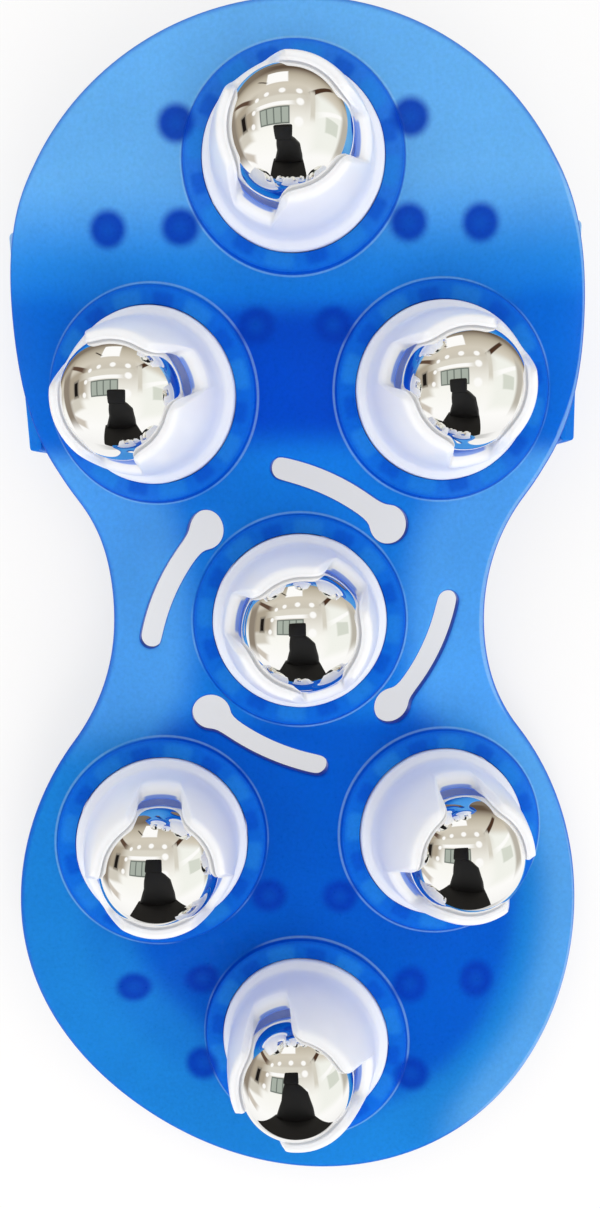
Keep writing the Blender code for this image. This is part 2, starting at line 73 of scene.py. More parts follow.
camera = bpy.data.cameras.new("camera")
camera.sensor_fit = "VERTICAL"
camera.sensor_height = SENSOR
camera.lens = SENSOR * FOCAL_PIXELS / PICTURE_HEIGHT
camera.clip_start = 0.005
camera_object = bpy.data.objects.new("camera", camera)
camera_object.location = CAMERA_PLACE
camera_object.rotation_euler = (0.0, 0.0, math.radians(-CAMERA_ROLL))
bpy.context.scene.collection.objects.link(camera_object)
bpy.context.scene.camera = camera_object
bpy.context.scene.view_settings.view_transform = "Standard"
print("camera: lens", round(camera.lens, 2), "mm at height", CAMERA_PLACE.z)

# %% [markdown]
# ## Sizes
# The ball is a stock 11/16 inch one, and everything else was measured
# against it. Heights are above the front face of the flat plate. The plate
# is made flat, as its mould is, and bent at the end, because each of its
# seven stations leans its own way.

# %% Sizes
BALL_RADIUS = 0.00873
BALL_HEIGHT = 0.0130
SOCKET_RADIUS = BALL_RADIUS + 0.00035
DOME_RADIUS = SOCKET_RADIUS + 0.0027
SKIRT_RADIUS = DOME_RADIUS + 0.0015
RING_WIDTH = 0.0026
RING_HEIGHT = 0.0010
RING_RADIUS = SKIRT_RADIUS + 0.0003 + RING_WIDTH
PLATE_THICKNESS = 0.0030
LUG_MIDDLE = -PLATE_THICKNESS / 2
STIFF_RADIUS = RING_RADIUS + 0.0003

SIDE_X = RING_RADIUS + 0.0115 / 2
SIDE_Y = math.sqrt((2 * RING_RADIUS + 0.0084) ** 2 - SIDE_X**2)
SIDE_ANGLE = math.radians(-27.0)
SIDE_REACH = SIDE_X / math.cos(SIDE_ANGLE)
LOBE_RADIUS = SIDE_REACH + RING_RADIUS + 0.0037
LOBE_CENTRE = SIDE_Y - SIDE_REACH * math.sin(SIDE_ANGLE)
END_Y = LOBE_CENTRE + LOBE_RADIUS - 0.0061 - RING_RADIUS

# Which lobe and side a station is on, how far it leans towards +X and +Y,
# and where its first notch points, in degrees
STATIONS = {
    "top": (1, 0, (-2.3, -2.0), 0.0),
    "upper_left": (1, -1, (-10.9, -5.0), 20.0),
    "upper_right": (1, 1, (5.3, -1.7), 41.0),
    "centre": (0, 0, (1.9, 1.5), 48.0),
    "lower_left": (-1, -1, (5.0, 3.3), 88.0),
    "lower_right": (-1, 1, (8.9, 3.3), 92.0),
    "bottom": (-1, 0, (-6.8, 2.9), 114.0),
}


def station_place(name):
    """The middle of a station on the flat plate."""
    lobe, side = STATIONS[name][:2]
    return Vector((side * SIDE_X, lobe * (SIDE_Y if side else END_Y), 0.0))


PLACES = {name: station_place(name) for name in STATIONS}
print("plate:", round(2000 * LOBE_RADIUS, 1), "mm across a lobe, stations", len(PLACES))

# %% [markdown]
# ## How the plate bends
# Inside its ring each station is stiff, because the cage holds it. Between
# the rings the soft sheet blends from one lean to the next. The strap also
# draws the sides of the upper lobe back, round an arc. One function moves
# any point of the flat plate to its bent place, so the rings, slots, nubs
# and strap all follow the same sheet.

# %% Bend
SIDE_CURL = math.radians(45.0)
TILT = math.radians(7.2)


def station_frames():
    """Each station's lean, and the heights that bend the sheet the least."""
    names = list(STATIONS)
    rows, rises = [], []
    for i, first in enumerate(names):
        for j, second in enumerate(names[:i]):
            step = np.array((PLACES[first] - PLACES[second]).xy)
            leans = np.array([STATIONS[first][2], STATIONS[second][2]])
            slope = -np.tan(np.radians(leans)).mean(axis=0)
            weight = (LOBE_RADIUS / np.linalg.norm(step)) ** 2
            row = np.zeros(len(names))
            row[i], row[j] = weight, -weight
            rows.append(row)
            rises.append(weight * float(slope @ step))
    free = [i for i, name in enumerate(names) if STATIONS[name][1] != 0]
    heights = np.zeros(len(names))
    heights[free] = np.linalg.lstsq(np.array(rows)[:, free], np.array(rises), rcond=None)[0]
    frames = {}
    for name, height in zip(names, heights):
        to_right, to_top = (math.radians(lean) for lean in STATIONS[name][2])
        lean = Matrix.Rotation(to_right, 4, "Y") @ Matrix.Rotation(-to_top, 4, "X")
        frames[name] = Matrix.Translation(PLACES[name] + Vector((0.0, 0.0, height))) @ lean
    return frames


FRAMES = station_frames()
BENDS = [(PLACES[name], FRAMES[name] @ Matrix.Translation(-PLACES[name])) for name in STATIONS]


def drawn_back(point):
    """Where the strap draws a point of the upper lobe's sides."""
    start = SIDE_X + STIFF_RADIUS
    beyond = abs(point.x) - start
    if beyond <= 0 or point.y <= 0:
        return point
    stretch = LOBE_RADIUS - start
    curl = SIDE_CURL * min(beyond / stretch, 1.0)
    radius = stretch / SIDE_CURL
    past = max(beyond - stretch, 0.0)
    over_middle = radius + point.z - LUG_MIDDLE
    across = start + over_middle * math.sin(curl) + past * math.cos(curl)
    height = LUG_MIDDLE - radius + over_middle * math.cos(curl) - past * math.sin(curl)
    return Vector((math.copysign(across, point.x), point.y, height))


def bent(point):
    """Where a point of the flat plate goes when the plate bends."""
    pulls = []
    for place, bend in BENDS:
        away = (point.xy - place.xy).length - STIFF_RADIUS
        if away <= 0:
            return bend @ point
        pulls.append((1 / away**2, bend))
    total = sum(pull for pull, bend in pulls)
    point = drawn_back(point)
    return sum((pull / total * (bend @ point) for pull, bend in pulls), Vector((0.0, 0.0, 0.0)))


middle_joint = next(j for j in frame["joints"] if j["child"] == "ball_centre")
tilt = Matrix.Rotation(TILT, 4, "X")
middle_ball = tilt @ FRAMES["centre"] @ Vector((0.0, 0.0, BALL_HEIGHT))
PLATE_MATRIX = Matrix.Translation(Vector(middle_joint["pos_m"]) - middle_ball) @ tilt
for joint in frame["joints"]:
    name = joint["child"][len("ball_"):]
    ball = PLATE_MATRIX @ FRAMES[name] @ Vector((0.0, 0.0, BALL_HEIGHT))
    off = (ball - Vector(joint["pos_m"])).length
    print(name, "ball is off its joint by", round(1e6 * off, 1), "micrometres")

# %% [markdown]
# ## Small helpers
# Every piece below ends the same way: its mesh takes its place in the frame,
# its faces are turned outwards and shaded smooth, and it rides on its body.

# %% Helpers
SAME_PLACE = 1e-6
WELD_DISTANCE = 1e-7


def arc(centre, radius, start, end, steps, ended=False):
    """Points along an arc, with or without its end point."""
    angles = np.linspace(start, end, steps + 1 if ended else steps, endpoint=ended)
    return [(centre[0] + radius * math.cos(a), centre[1] + radius * math.sin(a)) for a in angles]


def add_loop(work, outline, height):
    """A closed loop of edges through flat points at one height."""
    verts = [work.verts.new((x, y, height)) for x, y in outline]
    edges = [work.edges.new(pair) for pair in zip(verts, verts[1:] + verts[:1])]
    return verts, edges


def extrude_to(work, verts, edges, outline, height):
    """Extrude a loop of edges and lay the new loop on the next outline."""
    made = bmesh.ops.extrude_edge_only(work, edges=edges)["geom"]
    new_verts = {v for v in made if isinstance(v, bmesh.types.BMVert)}
    following = []
    for vert, (x, y) in zip(verts, outline):
        twin = next(e.other_vert(vert) for e in vert.link_edges if e.other_vert(vert) in new_verts)
        twin.co = (x, y, height)
        following.append(twin)
    kept = set(following)
    new_edges = [e for e in made if isinstance(e, bmesh.types.BMEdge) and set(e.verts) <= kept]
    return following, new_edges


def spun(work, profile, steps, place=(0.0, 0.0)):
    """Turn an open profile of (radius, height) points into a round wall."""
    centre = Vector((*place, 0.0))
    verts = [work.verts.new(centre + Vector((radius, 0.0, height))) for radius, height in profile]
    edges = [work.edges.new(pair) for pair in zip(verts, verts[1:])]
    bmesh.ops.spin(
        work, geom=verts + edges, cent=centre, axis=(0.0, 0.0, 1.0), dvec=(0.0, 0.0, 0.0),
        angle=math.tau, steps=steps, use_merge=True, use_normal_flip=False, use_duplicate=False,
    )


def add_object(work, name, material=None):
    """Turn a bmesh into a mesh object that stands in the scene."""
    mesh = bpy.data.meshes.new(name)
    work.to_mesh(mesh)
    work.free()
    if material:
        mesh.materials.append(material)
    made = bpy.data.objects.new(name, mesh)
    bpy.context.scene.collection.objects.link(made)
    return made


def finish_piece(work, name, matrix, body, material, nodes, sharp=180.0):
    """Close a piece, set it in place and let it stand for its nodes."""
    bmesh.ops.remove_doubles(work, verts=work.verts, dist=WELD_DISTANCE)
    bmesh.ops.recalc_face_normals(work, faces=work.faces)
    bmesh.ops.transform(work, matrix=matrix, verts=work.verts)
    open_edges = sum(1 for edge in work.edges if not edge.is_manifold)
    piece = add_object(work, name, material)
    mesh = piece.data
    mesh.shade_smooth()
    if sharp < 180.0:
        mesh.set_sharp_from_angle(angle=math.radians(sharp))
    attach(piece, body)
    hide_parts(*nodes)
    print(name, "faces", len(mesh.polygons), "open edges", open_edges)
    return piece


# %% [markdown]
# ## Helpers for materials
# Colours are written as sRGB hex values, as a picture editor shows them, and
# turned to linear in one place. One function adds any node. Another lays
# colours over each other, the way that paint goes on: each layer shows where
# a measured value, such as a height, is past its second place.

# %% Colour and nodes


def linear(code):
    """An sRGB hex colour as the linear RGBA that shaders use."""
    shares = [int(code[i:i + 2], 16) / 255 for i in (0, 2, 4)]
    return (*(s / 12.92 if s <= 0.04045 else ((s + 0.055) / 1.055) ** 2.4 for s in shares), 1.0)


def add_node(tree, kind, inputs=None, **settings):
    """Add a node, its settings by name and its inputs as values or links."""
    node = tree.nodes.new("ShaderNode" + kind)
    for name, value in settings.items():
        setattr(node, name, value)
    for key, value in (inputs or {}).items():
        if isinstance(value, bpy.types.NodeSocket):
            tree.links.new(value, node.inputs[key])
        else:
            node.inputs[key].default_value = value
    return node


def painted(tree, base, layers):
    """Lay colours over a base. A layer is a value, the place where it is
    clear and where it is full, its strength, and its colour."""
    for value, clear, full, strength, colour in layers:
        inputs = {"Value": value, "From Min": clear, "From Max": full, "To Max": strength}
        share = add_node(tree, "MapRange", inputs, interpolation_type="SMOOTHSTEP").outputs["Result"]
        base = add_node(tree, "Mix", {0: share, 6: base, 7: colour}, data_type="RGBA").outputs[2]
    return base


def new_material(name, sockets):
    """A material whose Principled shader has these plain values."""
    material = bpy.data.materials.new(name)
    material.use_nodes = True
    shader = material.node_tree.nodes["Principled BSDF"]
    for socket, value in sockets.items():
        shader.inputs[socket].default_value = value
    return material, material.node_tree, shader


def set_ramp(ramp, stops):
    """Give a colour ramp its stops, as places and linear colours."""
    elements = ramp.color_ramp.elements
    while len(elements) < len(stops):
        elements.new(0.5)
    for element, (place, colour) in zip(elements, stops):
        element.position = place
        element.color = colour


# %% [markdown]
# ## Frosted blue plastic
# The plate is a soft clear plastic, dyed blue and moulded in a sandblasted
# mould, so it is see-through but blurs what is behind it. Light leaks
# through it: thin and free stretches glow light blue, and it is dark where
# the strap, a nub or a thick ring lies behind. A real volume would be slow
# and noisy here. So the light spreads a little under the surface, and the
# glow and the shade of what shows through from behind, and highlights on
# edges, are painted into the colour from the flat plate's own coordinates,
# which each corner of the mesh keeps in two maps: its place on the flat
# plate, and its place from the middle of the nearest station.

# %% Frosted blue plastic
NUB_RADIUS = 0.00265
NUB_ROW_PITCH = 0.0145
NUB_COLUMN_PITCH = 0.0110
NUB_ROW_START = -0.0015
# The row and the column of each nub in a quarter of the plate, in pitches
NUB_PLACE_SHARES = ((0, 0.5), (1, 1.52), (1, 2.49), (2, 1.54))
STRAP_WIDTH = 0.032
STRAP_MIDDLE = LOBE_CENTRE - 0.0022
LUG_COUNT = 8
LUG_TURN = math.radians(-9.0)
NUB_SPOTS = [
    (column * NUB_COLUMN_PITCH, LOBE_CENTRE + NUB_ROW_START + row * NUB_ROW_PITCH)
    for row, column in NUB_PLACE_SHARES
]

# From the painted highlight on thin edges to the painted shade over the nubs
BLUE_HIGHLIGHT = linear("9FCDF4")
BLUE_LIT = linear("66AFEA")
BLUE_GLOW = linear("4E9FEA")
BLUE_FREE = linear("2688DE")
BLUE_SHORE = linear("1A81D2")
BLUE_OPEN = linear("127ADC")
BLUE_SIDE = linear("056BD5")
BLUE_RING = linear("0C69D6")
BLUE_MID = linear("0059C6")
BLUE_SHADE = linear("0048C3")
BLUE_DEEP = linear("003CB2")
# Where the rounded edges with a painted highlight are turned to
LIGHT_SIDE = Vector((0.55, -0.25, 0.80)).normalized()
# Blotches of dye about 22 mm wide, and a grain of about half a millimetre
CLOUD_SCALE = 45.0
GRAIN_SCALE = 1800.0
# Nearly all values of a noise lie between these
NOISE_LOW, NOISE_HIGH = 0.3, 0.7
# What the clouds and the grain do to the brightness, and the grain to the rest
CLOUD_TONES = (0.93, 1.07)
GRAIN_TONES = (0.95, 1.05)
GRAIN_ROUGHNESS = (0.26, 0.40)
GRAIN_BUMP = 0.12
GRAIN_DEPTH = 0.0001
# What the plate's and the strap's plastic have in common
FROSTED = {
    "IOR": 1.49,
    "Specular IOR Level": 0.06,
    "Subsurface Weight": 0.25,
    "Subsurface Scale": 0.003,
    "Subsurface Radius": (0.15, 0.45, 1.0),
}
print("seen through the plate:", 4 * len(NUB_SPOTS), "nubs, and", LUG_COUNT, "lugs of each cage")

# %% [markdown]
# The plate's colours are laid in layers over soft areas. An area is a set of
# steps: a value of the flat plate, the place where the area is clear and the
# place where it is full. Values are in metres, but for `lug`, which is one
# on the middle line of a lug, `clouds`, the noise of the dye, and `facing`
# and `upright`, which are shares of the face's normal.

# %% Areas and layers of the plate's colour
PLATE_AREAS = {
    "lower_side": (("height", 0.0, -0.012), ("edge", 0.014, 0.006)),
    "lower_left": (("height", -0.018, -0.030), ("across", -0.004, -0.020), ("edge", 0.022, 0.013)),
    "lower_right": (("height", -0.004, -0.016), ("across", 0.016, 0.030), ("edge", 0.010, 0.001)),
    "waist_side": (("along", 0.037, 0.022), ("height", -0.026, -0.010), ("edge", 0.018, 0.007)),
    "in_band": (("height", 0.022, 0.032), ("height", 0.0510, 0.0425)),
    "band_side": (("height", 0.022, 0.030), ("height", 0.0530, 0.0450), ("edge", 0.014, 0.009)),
    # The cage's lugs show through as painted paler patches, with painted shade in the gaps between them
    "lug_patch": (("lug", 0.70, 0.95), ("reach", SKIRT_RADIUS + 0.0030, SKIRT_RADIUS + 0.0014)),
    "lug_gap_shade": (("lug", 0.60, 0.25), ("reach", SKIRT_RADIUS + 0.0026, SKIRT_RADIUS + 0.0012)),
    # A painted shade line along the ring's edge
    "ring_painted_shade": (
        ("reach", RING_RADIUS + 0.00012, RING_RADIUS - 0.00008),
        ("reach", RING_RADIUS - 0.00060, RING_RADIUS - 0.00030),
    ),
    # A painted highlight line round the ring's edge, broken up by the clouds
    "ring_painted_highlight": (
        ("reach", RING_RADIUS + 0.00060, RING_RADIUS + 0.00035),
        ("reach", RING_RADIUS + 0.00005, RING_RADIUS + 0.00025),
        ("clouds", 0.32, 0.52),
    ),
    # A painted highlight on the rim's rounded edge where it faces the light
    "rim_painted_highlight": (("facing", 0.92, 0.98), ("edge", 0.0014, 0.0010)),
}
# A value or an area, where it is clear and full, the layer's strength and colour
PLATE_LAYERS = (
    # Light that leaks in from the sides, and most at the free top
    ("height", -0.0180, -0.0125, 1.0, BLUE_OPEN),
    ("lower_side", 0.0, 1.0, 1.0, BLUE_SHORE),
    ("lower_left", 0.0, 1.0, 0.8, BLUE_SHORE),
    ("lower_right", 0.0, 1.0, 0.65, BLUE_LIT),
    ("waist_side", 0.0, 1.0, 1.0, BLUE_GLOW),
    ("height", 0.0480, 0.0560, 1.0, BLUE_FREE),
    ("height", 0.0530, 0.0670, 1.0, BLUE_LIT),
    # The strap behind the upper lobe keeps the light out
    ("in_band", 0.0, 1.0, 1.0, BLUE_SHADE),
    ("band_side", 0.0, 1.0, 0.9, BLUE_SIDE),
    # The stiff ring; the cage's lugs, painted as paler patches that show through it with painted shade between
    # them; and the painted shade and painted highlight lines at its edge
    ("reach", RING_RADIUS + 0.0001, RING_RADIUS - 0.0001, 0.85, BLUE_RING),
    ("lug_gap_shade", 0.0, 1.0, 0.55, BLUE_SHADE),
    ("lug_patch", 0.0, 1.0, 0.55, BLUE_FREE),
    ("ring_painted_shade", 0.0, 1.0, 0.30, BLUE_SHADE),
    ("ring_painted_highlight", 0.0, 1.0, 0.35, BLUE_HIGHLIGHT),
    # Nubs on the hand side show through, blurred by the frosting: painted shade over each nub, with a paler
    # middle
    ("nub", NUB_RADIUS + 0.0009, NUB_RADIUS - 0.0008, 0.95, BLUE_DEEP),
    ("nub", NUB_RADIUS * 0.7, 0.0, 0.16, BLUE_OPEN),
    # The rounded rim: painted shade where it turns away, a painted highlight where it meets the light
    ("edge", 0.0011, 0.0002, 0.55, BLUE_SHADE),
    ("upright", 0.75, 0.40, 0.75, BLUE_SHADE),
    ("rim_painted_highlight", 0.0, 1.0, 0.45, BLUE_HIGHLIGHT),
)
print("plate colour:", len(PLATE_AREAS), "areas,", len(PLATE_LAYERS), "layers")

# %% Plate plastic


def plate_values(tree):
    """What the plate's layers are laid by, each as a node's output."""
    flat = add_node(tree, "UVMap", uv_map="flat_place").outputs["UV"]
    away = add_node(tree, "UVMap", uv_map="from_station").outputs["UV"]
    place = add_node(tree, "SeparateXYZ", {0: flat})
    side = add_node(tree, "Math", {0: place.outputs["X"]}, operation="ABSOLUTE").outputs[0]
    along = add_node(tree, "Math", {0: place.outputs["Y"]}, operation="ABSOLUTE").outputs[0]
    spread = add_node(tree, "SeparateXYZ", {0: away})
    sides = {0: spread.outputs["Y"], 1: spread.outputs["X"]}
    angle = add_node(tree, "Math", sides, operation="ARCTAN2").outputs[0]
    turned = add_node(tree, "Math", {0: angle, 1: LUG_TURN}, operation="SUBTRACT").outputs[0]
    turned = add_node(tree, "Math", {0: turned, 1: LUG_COUNT / 2}, operation="MULTIPLY").outputs[0]
    wave = add_node(tree, "Math", {0: turned}, operation="COSINE").outputs[0]
    folded = add_node(tree, "CombineXYZ", {"X": side, "Y": along}).outputs[0]
    nub = None
    for x, y in NUB_SPOTS:
        gap = add_node(tree, "VectorMath", {0: folded, 1: (x, y, 0.0)}, operation="DISTANCE").outputs["Value"]
        nub = gap if nub is None else add_node(tree, "Math", {0: nub, 1: gap}, operation="MINIMUM").outputs[0]
    normal = add_node(tree, "TexCoord").outputs["Normal"]
    facing = add_node(tree, "VectorMath", {0: normal, 1: LIGHT_SIDE}, operation="DOT_PRODUCT").outputs["Value"]
    upright = add_node(tree, "SeparateXYZ", {0: normal}).outputs["Z"]
    upright = add_node(tree, "Math", {0: upright}, operation="ABSOLUTE").outputs[0]
    return {
        "across": place.outputs["X"],
        "height": place.outputs["Y"],
        "along": along,
        "edge": add_node(tree, "Attribute", attribute_name="edge_depth").outputs["Fac"],
        "reach": add_node(tree, "VectorMath", {0: away}, operation="LENGTH").outputs["Value"],
        "lug": add_node(tree, "Math", {0: wave}, operation="ABSOLUTE").outputs[0],
        "nub": nub,
        "facing": facing,
        "upright": upright,
    }


def both(tree, steps):
    """How far a place is inside all of several soft steps at once."""
    whole = 1.0
    for value, clear, full in steps:
        inputs = {"Value": value, "From Min": clear, "From Max": full}
        share = add_node(tree, "MapRange", inputs, interpolation_type="SMOOTHSTEP").outputs["Result"]
        whole = add_node(tree, "Math", {0: whole, 1: share}, operation="MULTIPLY").outputs[0]
    return whole


def plastic_noise(tree, coordinates):
    """The broad clouds of dye, and the mould's fine grain."""
    return [
        add_node(tree, "TexNoise", {"Vector": coordinates, "Scale": scale, "Detail": 2.0}).outputs["Fac"]
        for scale in (CLOUD_SCALE, GRAIN_SCALE)
    ]


def frost(tree, shader, base, grain, tone):
    """Break the colour, the sheen and the surface up by the mould's grain."""
    low, high = GRAIN_TONES
    speckle = add_node(tree, "MapRange", {
        "Value": grain, "From Min": NOISE_LOW, "From Max": NOISE_HIGH, "To Min": low, "To Max": high
    }).outputs["Result"]
    value = add_node(tree, "Math", {0: speckle, 1: tone}, operation="MULTIPLY").outputs[0]
    colour = add_node(tree, "HueSaturation", {"Value": value, "Color": base}).outputs["Color"]
    tree.links.new(colour, shader.inputs["Base Color"])
    smooth, rough = GRAIN_ROUGHNESS
    sheen = add_node(tree, "MapRange", {
        "Value": grain, "From Min": 0.25, "From Max": 0.75, "To Min": smooth, "To Max": rough
    }).outputs["Result"]
    tree.links.new(sheen, shader.inputs["Roughness"])
    relief = {"Height": grain, "Strength": GRAIN_BUMP, "Distance": GRAIN_DEPTH}
    tree.links.new(add_node(tree, "Bump", relief).outputs["Normal"], shader.inputs["Normal"])


def make_plate_material():
    """The plate's plastic: its layers of colour with painted light and shade, clouded and frosted."""
    material, tree, shader = new_material("frosted_blue_plastic", FROSTED)
    clouds, grain = plastic_noise(tree, add_node(tree, "TexCoord").outputs["Object"])
    values = plate_values(tree)
    values["clouds"] = clouds
    for area, steps in PLATE_AREAS.items():
        values[area] = both(tree, [(values[name], clear, full) for name, clear, full in steps])
    base = painted(tree, BLUE_MID, [(values[name], *rest) for name, *rest in PLATE_LAYERS])
    low, high = CLOUD_TONES
    tone = add_node(tree, "MapRange", {
        "Value": clouds, "From Min": NOISE_LOW, "From Max": NOISE_HIGH, "To Min": low, "To Max": high
    }).outputs["Result"]
    frost(tree, shader, base, grain, tone)
    return material


PLATE_PLASTIC = make_plate_material()
print("material:", PLATE_PLASTIC.name, len(PLATE_PLASTIC.node_tree.nodes), "nodes")

# %% [markdown]
# ## The plate
# Its front is a flat sheet with seven round holes and four curved slots. A
# fill between the loops of edges makes that sheet at once. The loops
# themselves come from turned or extruded walls: each ring is one profile
# spun round its station, and the plate's rim and the slots are loops of
# edges extruded round a rounded edge to the back.

# %% Outlines of the plate
WAIST_LAND = 0.0041
SLOT_COUNT = 4
SLOT_END_RADIUS = 0.0030
SLOT_HALF_WIDTH = 0.0017
SLOT_BOW = 0.0013
SLOT_START = math.radians(46.0)
SLOT_SWEEP = math.radians(50.0)
SLOT_NEAR = RING_RADIUS + 0.0008 + SLOT_END_RADIUS
SLOT_FAR = SLOT_NEAR + 0.0032
WAIST = SLOT_FAR + SLOT_HALF_WIDTH + WAIST_LAND
WAIST_RADIUS = (WAIST**2 + LOBE_CENTRE**2 - LOBE_RADIUS**2) / (2 * (LOBE_RADIUS - WAIST))
LOBE_STEPS = 150
WAIST_STEPS = 36
SLOT_SIDE_STEPS = 14
SLOT_ROUND_STEPS = 18


def plate_outline(grow):
    """The figure eight: two lobes and the hollow arcs of the waist."""
    middle = WAIST + WAIST_RADIUS
    tangent = math.atan2(LOBE_CENTRE, middle)
    lobe = LOBE_RADIUS + grow
    hollow = WAIST_RADIUS - grow
    points = arc((0.0, LOBE_CENTRE), lobe, -tangent, math.pi + tangent, LOBE_STEPS)
    points += arc((-middle, 0.0), hollow, tangent, -tangent, WAIST_STEPS)
    points += arc((0.0, -LOBE_CENTRE), lobe, math.pi - tangent, 2 * math.pi + tangent, LOBE_STEPS)
    points += arc((middle, 0.0), hollow, math.pi + tangent, math.pi - tangent, WAIST_STEPS)
    return points


def slot_outline(grow, turn):
    """A curved slot of even width, round at one end, with a round hole at the other."""
    near = Vector((SLOT_NEAR * math.cos(SLOT_START), SLOT_NEAR * math.sin(SLOT_START)))
    end = SLOT_START + SLOT_SWEEP
    far = Vector((SLOT_FAR * math.cos(end), SLOT_FAR * math.sin(end)))
    chord = far - near
    radius = (chord.length**2 / 4 + SLOT_BOW**2) / (2 * SLOT_BOW)
    inward = Vector((-chord.y, chord.x)).normalized()
    centre = (near + far) / 2 + inward * (radius - SLOT_BOW)
    first = math.atan2(near.y - centre.y, near.x - centre.x)
    last = first + 2 * math.asin(chord.length / 2 / radius)
    half, hole = SLOT_HALF_WIDTH + grow, SLOT_END_RADIUS + grow

    def leaves_hole(side_radius):
        return first + math.acos((radius**2 + side_radius**2 - hole**2) / (2 * radius * side_radius))

    wide, tight = radius + half, radius - half
    points = arc(centre, wide, leaves_hole(wide), last, SLOT_SIDE_STEPS)
    points += arc(far, half, last, last + math.pi, SLOT_ROUND_STEPS)
    points += arc(centre, tight, last, leaves_hole(tight), SLOT_SIDE_STEPS)
    entry = Vector(arc(centre, tight, leaves_hole(tight), last, 1)[0]) - near
    leave = Vector(arc(centre, wide, leaves_hole(wide), last, 1)[0]) - near
    start = math.atan2(entry.y, entry.x)
    sweep = (math.atan2(leave.y, leave.x) - start) % math.tau
    points += arc(near, hole, start, start + sweep, 2 * SLOT_ROUND_STEPS)
    points = np.array(points)
    for _ in range(3):
        points = (np.roll(points, 1, axis=0) + 2 * points + np.roll(points, -1, axis=0)) / 4
    spin = np.array([[math.cos(turn), math.sin(turn)], [-math.sin(turn), math.cos(turn)]])
    return [tuple(point) for point in points @ spin]


print("slot outline has", len(slot_outline(0.0, 0.0)), "points, plate outline", len(plate_outline(0.0)))

# %% Build the plate
EDGE_ROUND = 0.0011
SLOT_ROUND = 0.0006
OUTLINE_ROUNDS = ((EDGE_ROUND, 5), (SLOT_ROUND, 4))
RING_STEPS = 96
RING_DRAFT = 0.0001
RING_FOOT = 0.0004
RING_SHOULDER = 0.0005
NUB_STEPS = 28
NUB_HEIGHT = 0.0012
NUB_FILLET = 0.0001
NUB_CROWN = 0.00012
HOLE_FIT = 0.00004
HOLE_LIP = 0.00018
LUG_GROOVE = 0.0029
GROOVE_HALF = 0.0008
SHEET_GRID = 0.0022


def rounded_wall(edge_round, steps):
    """The rim's section: how far it grows and how low it is, front to back."""
    front = arc((-edge_round, -edge_round), edge_round, math.pi / 2, 0.0, steps, ended=True)
    return front + [(grow, -PLATE_THICKNESS - height) for grow, height in reversed(front)]


def build_walls(work):
    """The plate's rim, its slots, rings and nubs, all open to the flat faces."""
    rim, slot_rim = (rounded_wall(edge_round, steps) for edge_round, steps in OUTLINE_ROUNDS)
    outlines = [([plate_outline(grow) for grow, height in rim], rim)]
    for k in range(SLOT_COUNT):
        turn = math.tau * k / SLOT_COUNT
        outlines.append(([slot_outline(-grow, turn) for grow, height in slot_rim], slot_rim))
    for loops, section in outlines:
        verts, edges = add_loop(work, loops[0], section[0][1])
        for outline, (grow, height) in zip(loops[1:], section[1:]):
            verts, edges = extrude_to(work, verts, edges, outline, height)
    hole = SKIRT_RADIUS + HOLE_FIT
    up, left, down = math.pi / 2, math.pi, 1.5 * math.pi
    foot = arc((RING_RADIUS + RING_DRAFT + RING_FOOT, RING_FOOT), RING_FOOT, down, left, 3, ended=True)
    shoulder = arc(
        (RING_RADIUS - RING_SHOULDER, RING_HEIGHT - RING_SHOULDER), RING_SHOULDER, 0.0, up, 5, ended=True
    )
    lip = arc((hole + HOLE_LIP, RING_HEIGHT - HOLE_LIP), HOLE_LIP, up, left, 3, ended=True)
    back = arc((hole + HOLE_LIP, HOLE_LIP - PLATE_THICKNESS), HOLE_LIP, left, down, 3, ended=True)
    groove = [
        (hole, LUG_MIDDLE + GROOVE_HALF),
        (hole + LUG_GROOVE, LUG_MIDDLE + GROOVE_HALF),
        (hole + LUG_GROOVE, LUG_MIDDLE - GROOVE_HALF),
        (hole, LUG_MIDDLE - GROOVE_HALF),
    ]
    for place in PLACES.values():
        spun(work, foot + shoulder + lip + groove + back, RING_STEPS, place.xy)
    crown = NUB_RADIUS - NUB_HEIGHT
    base = -PLATE_THICKNESS
    nub = [(NUB_RADIUS + 4 * NUB_FILLET, base), (NUB_RADIUS + NUB_FILLET, base - NUB_FILLET)]
    nub += arc((crown, base), NUB_HEIGHT, -0.25, -math.pi / 2, 5, ended=True)
    nub.append((0.0, base - NUB_HEIGHT - NUB_CROWN))
    for x, y in NUB_SPOTS:
        for spot in ((x, y), (-x, y), (x, -y), (-x, -y)):
            spun(work, nub, NUB_STEPS, spot)
    bmesh.ops.remove_doubles(work, verts=work.verts, dist=SAME_PLACE)


def fill_sheet(work, height):
    """Fill the flat face at one height, and cut it into a grid that can bend."""
    rim = [
        edge for edge in work.edges
        if edge.is_boundary and all(abs(vert.co.z - height) < SAME_PLACE for vert in edge.verts)
    ]
    geometry = bmesh.ops.triangle_fill(work, edges=rim, use_beauty=True, normal=(0.0, 0.0, 1.0))["geom"]
    faces = [f for f in geometry if isinstance(f, bmesh.types.BMFace)]
    geometry = list({v for f in faces for v in f.verts}) + list({e for f in faces for e in f.edges}) + faces
    half = LOBE_CENTRE + LOBE_RADIUS
    count = 2 * round(half / SHEET_GRID)
    for normal in (Vector((1.0, 0.0, 0.0)), Vector((0.0, 1.0, 0.0))):
        for offset in np.linspace(-half, half, count + 1):
            geometry = bmesh.ops.bisect_plane(
                work, geom=geometry, dist=SAME_PLACE, plane_co=normal * float(offset), plane_no=normal
            )["geom"]
    return len(faces)


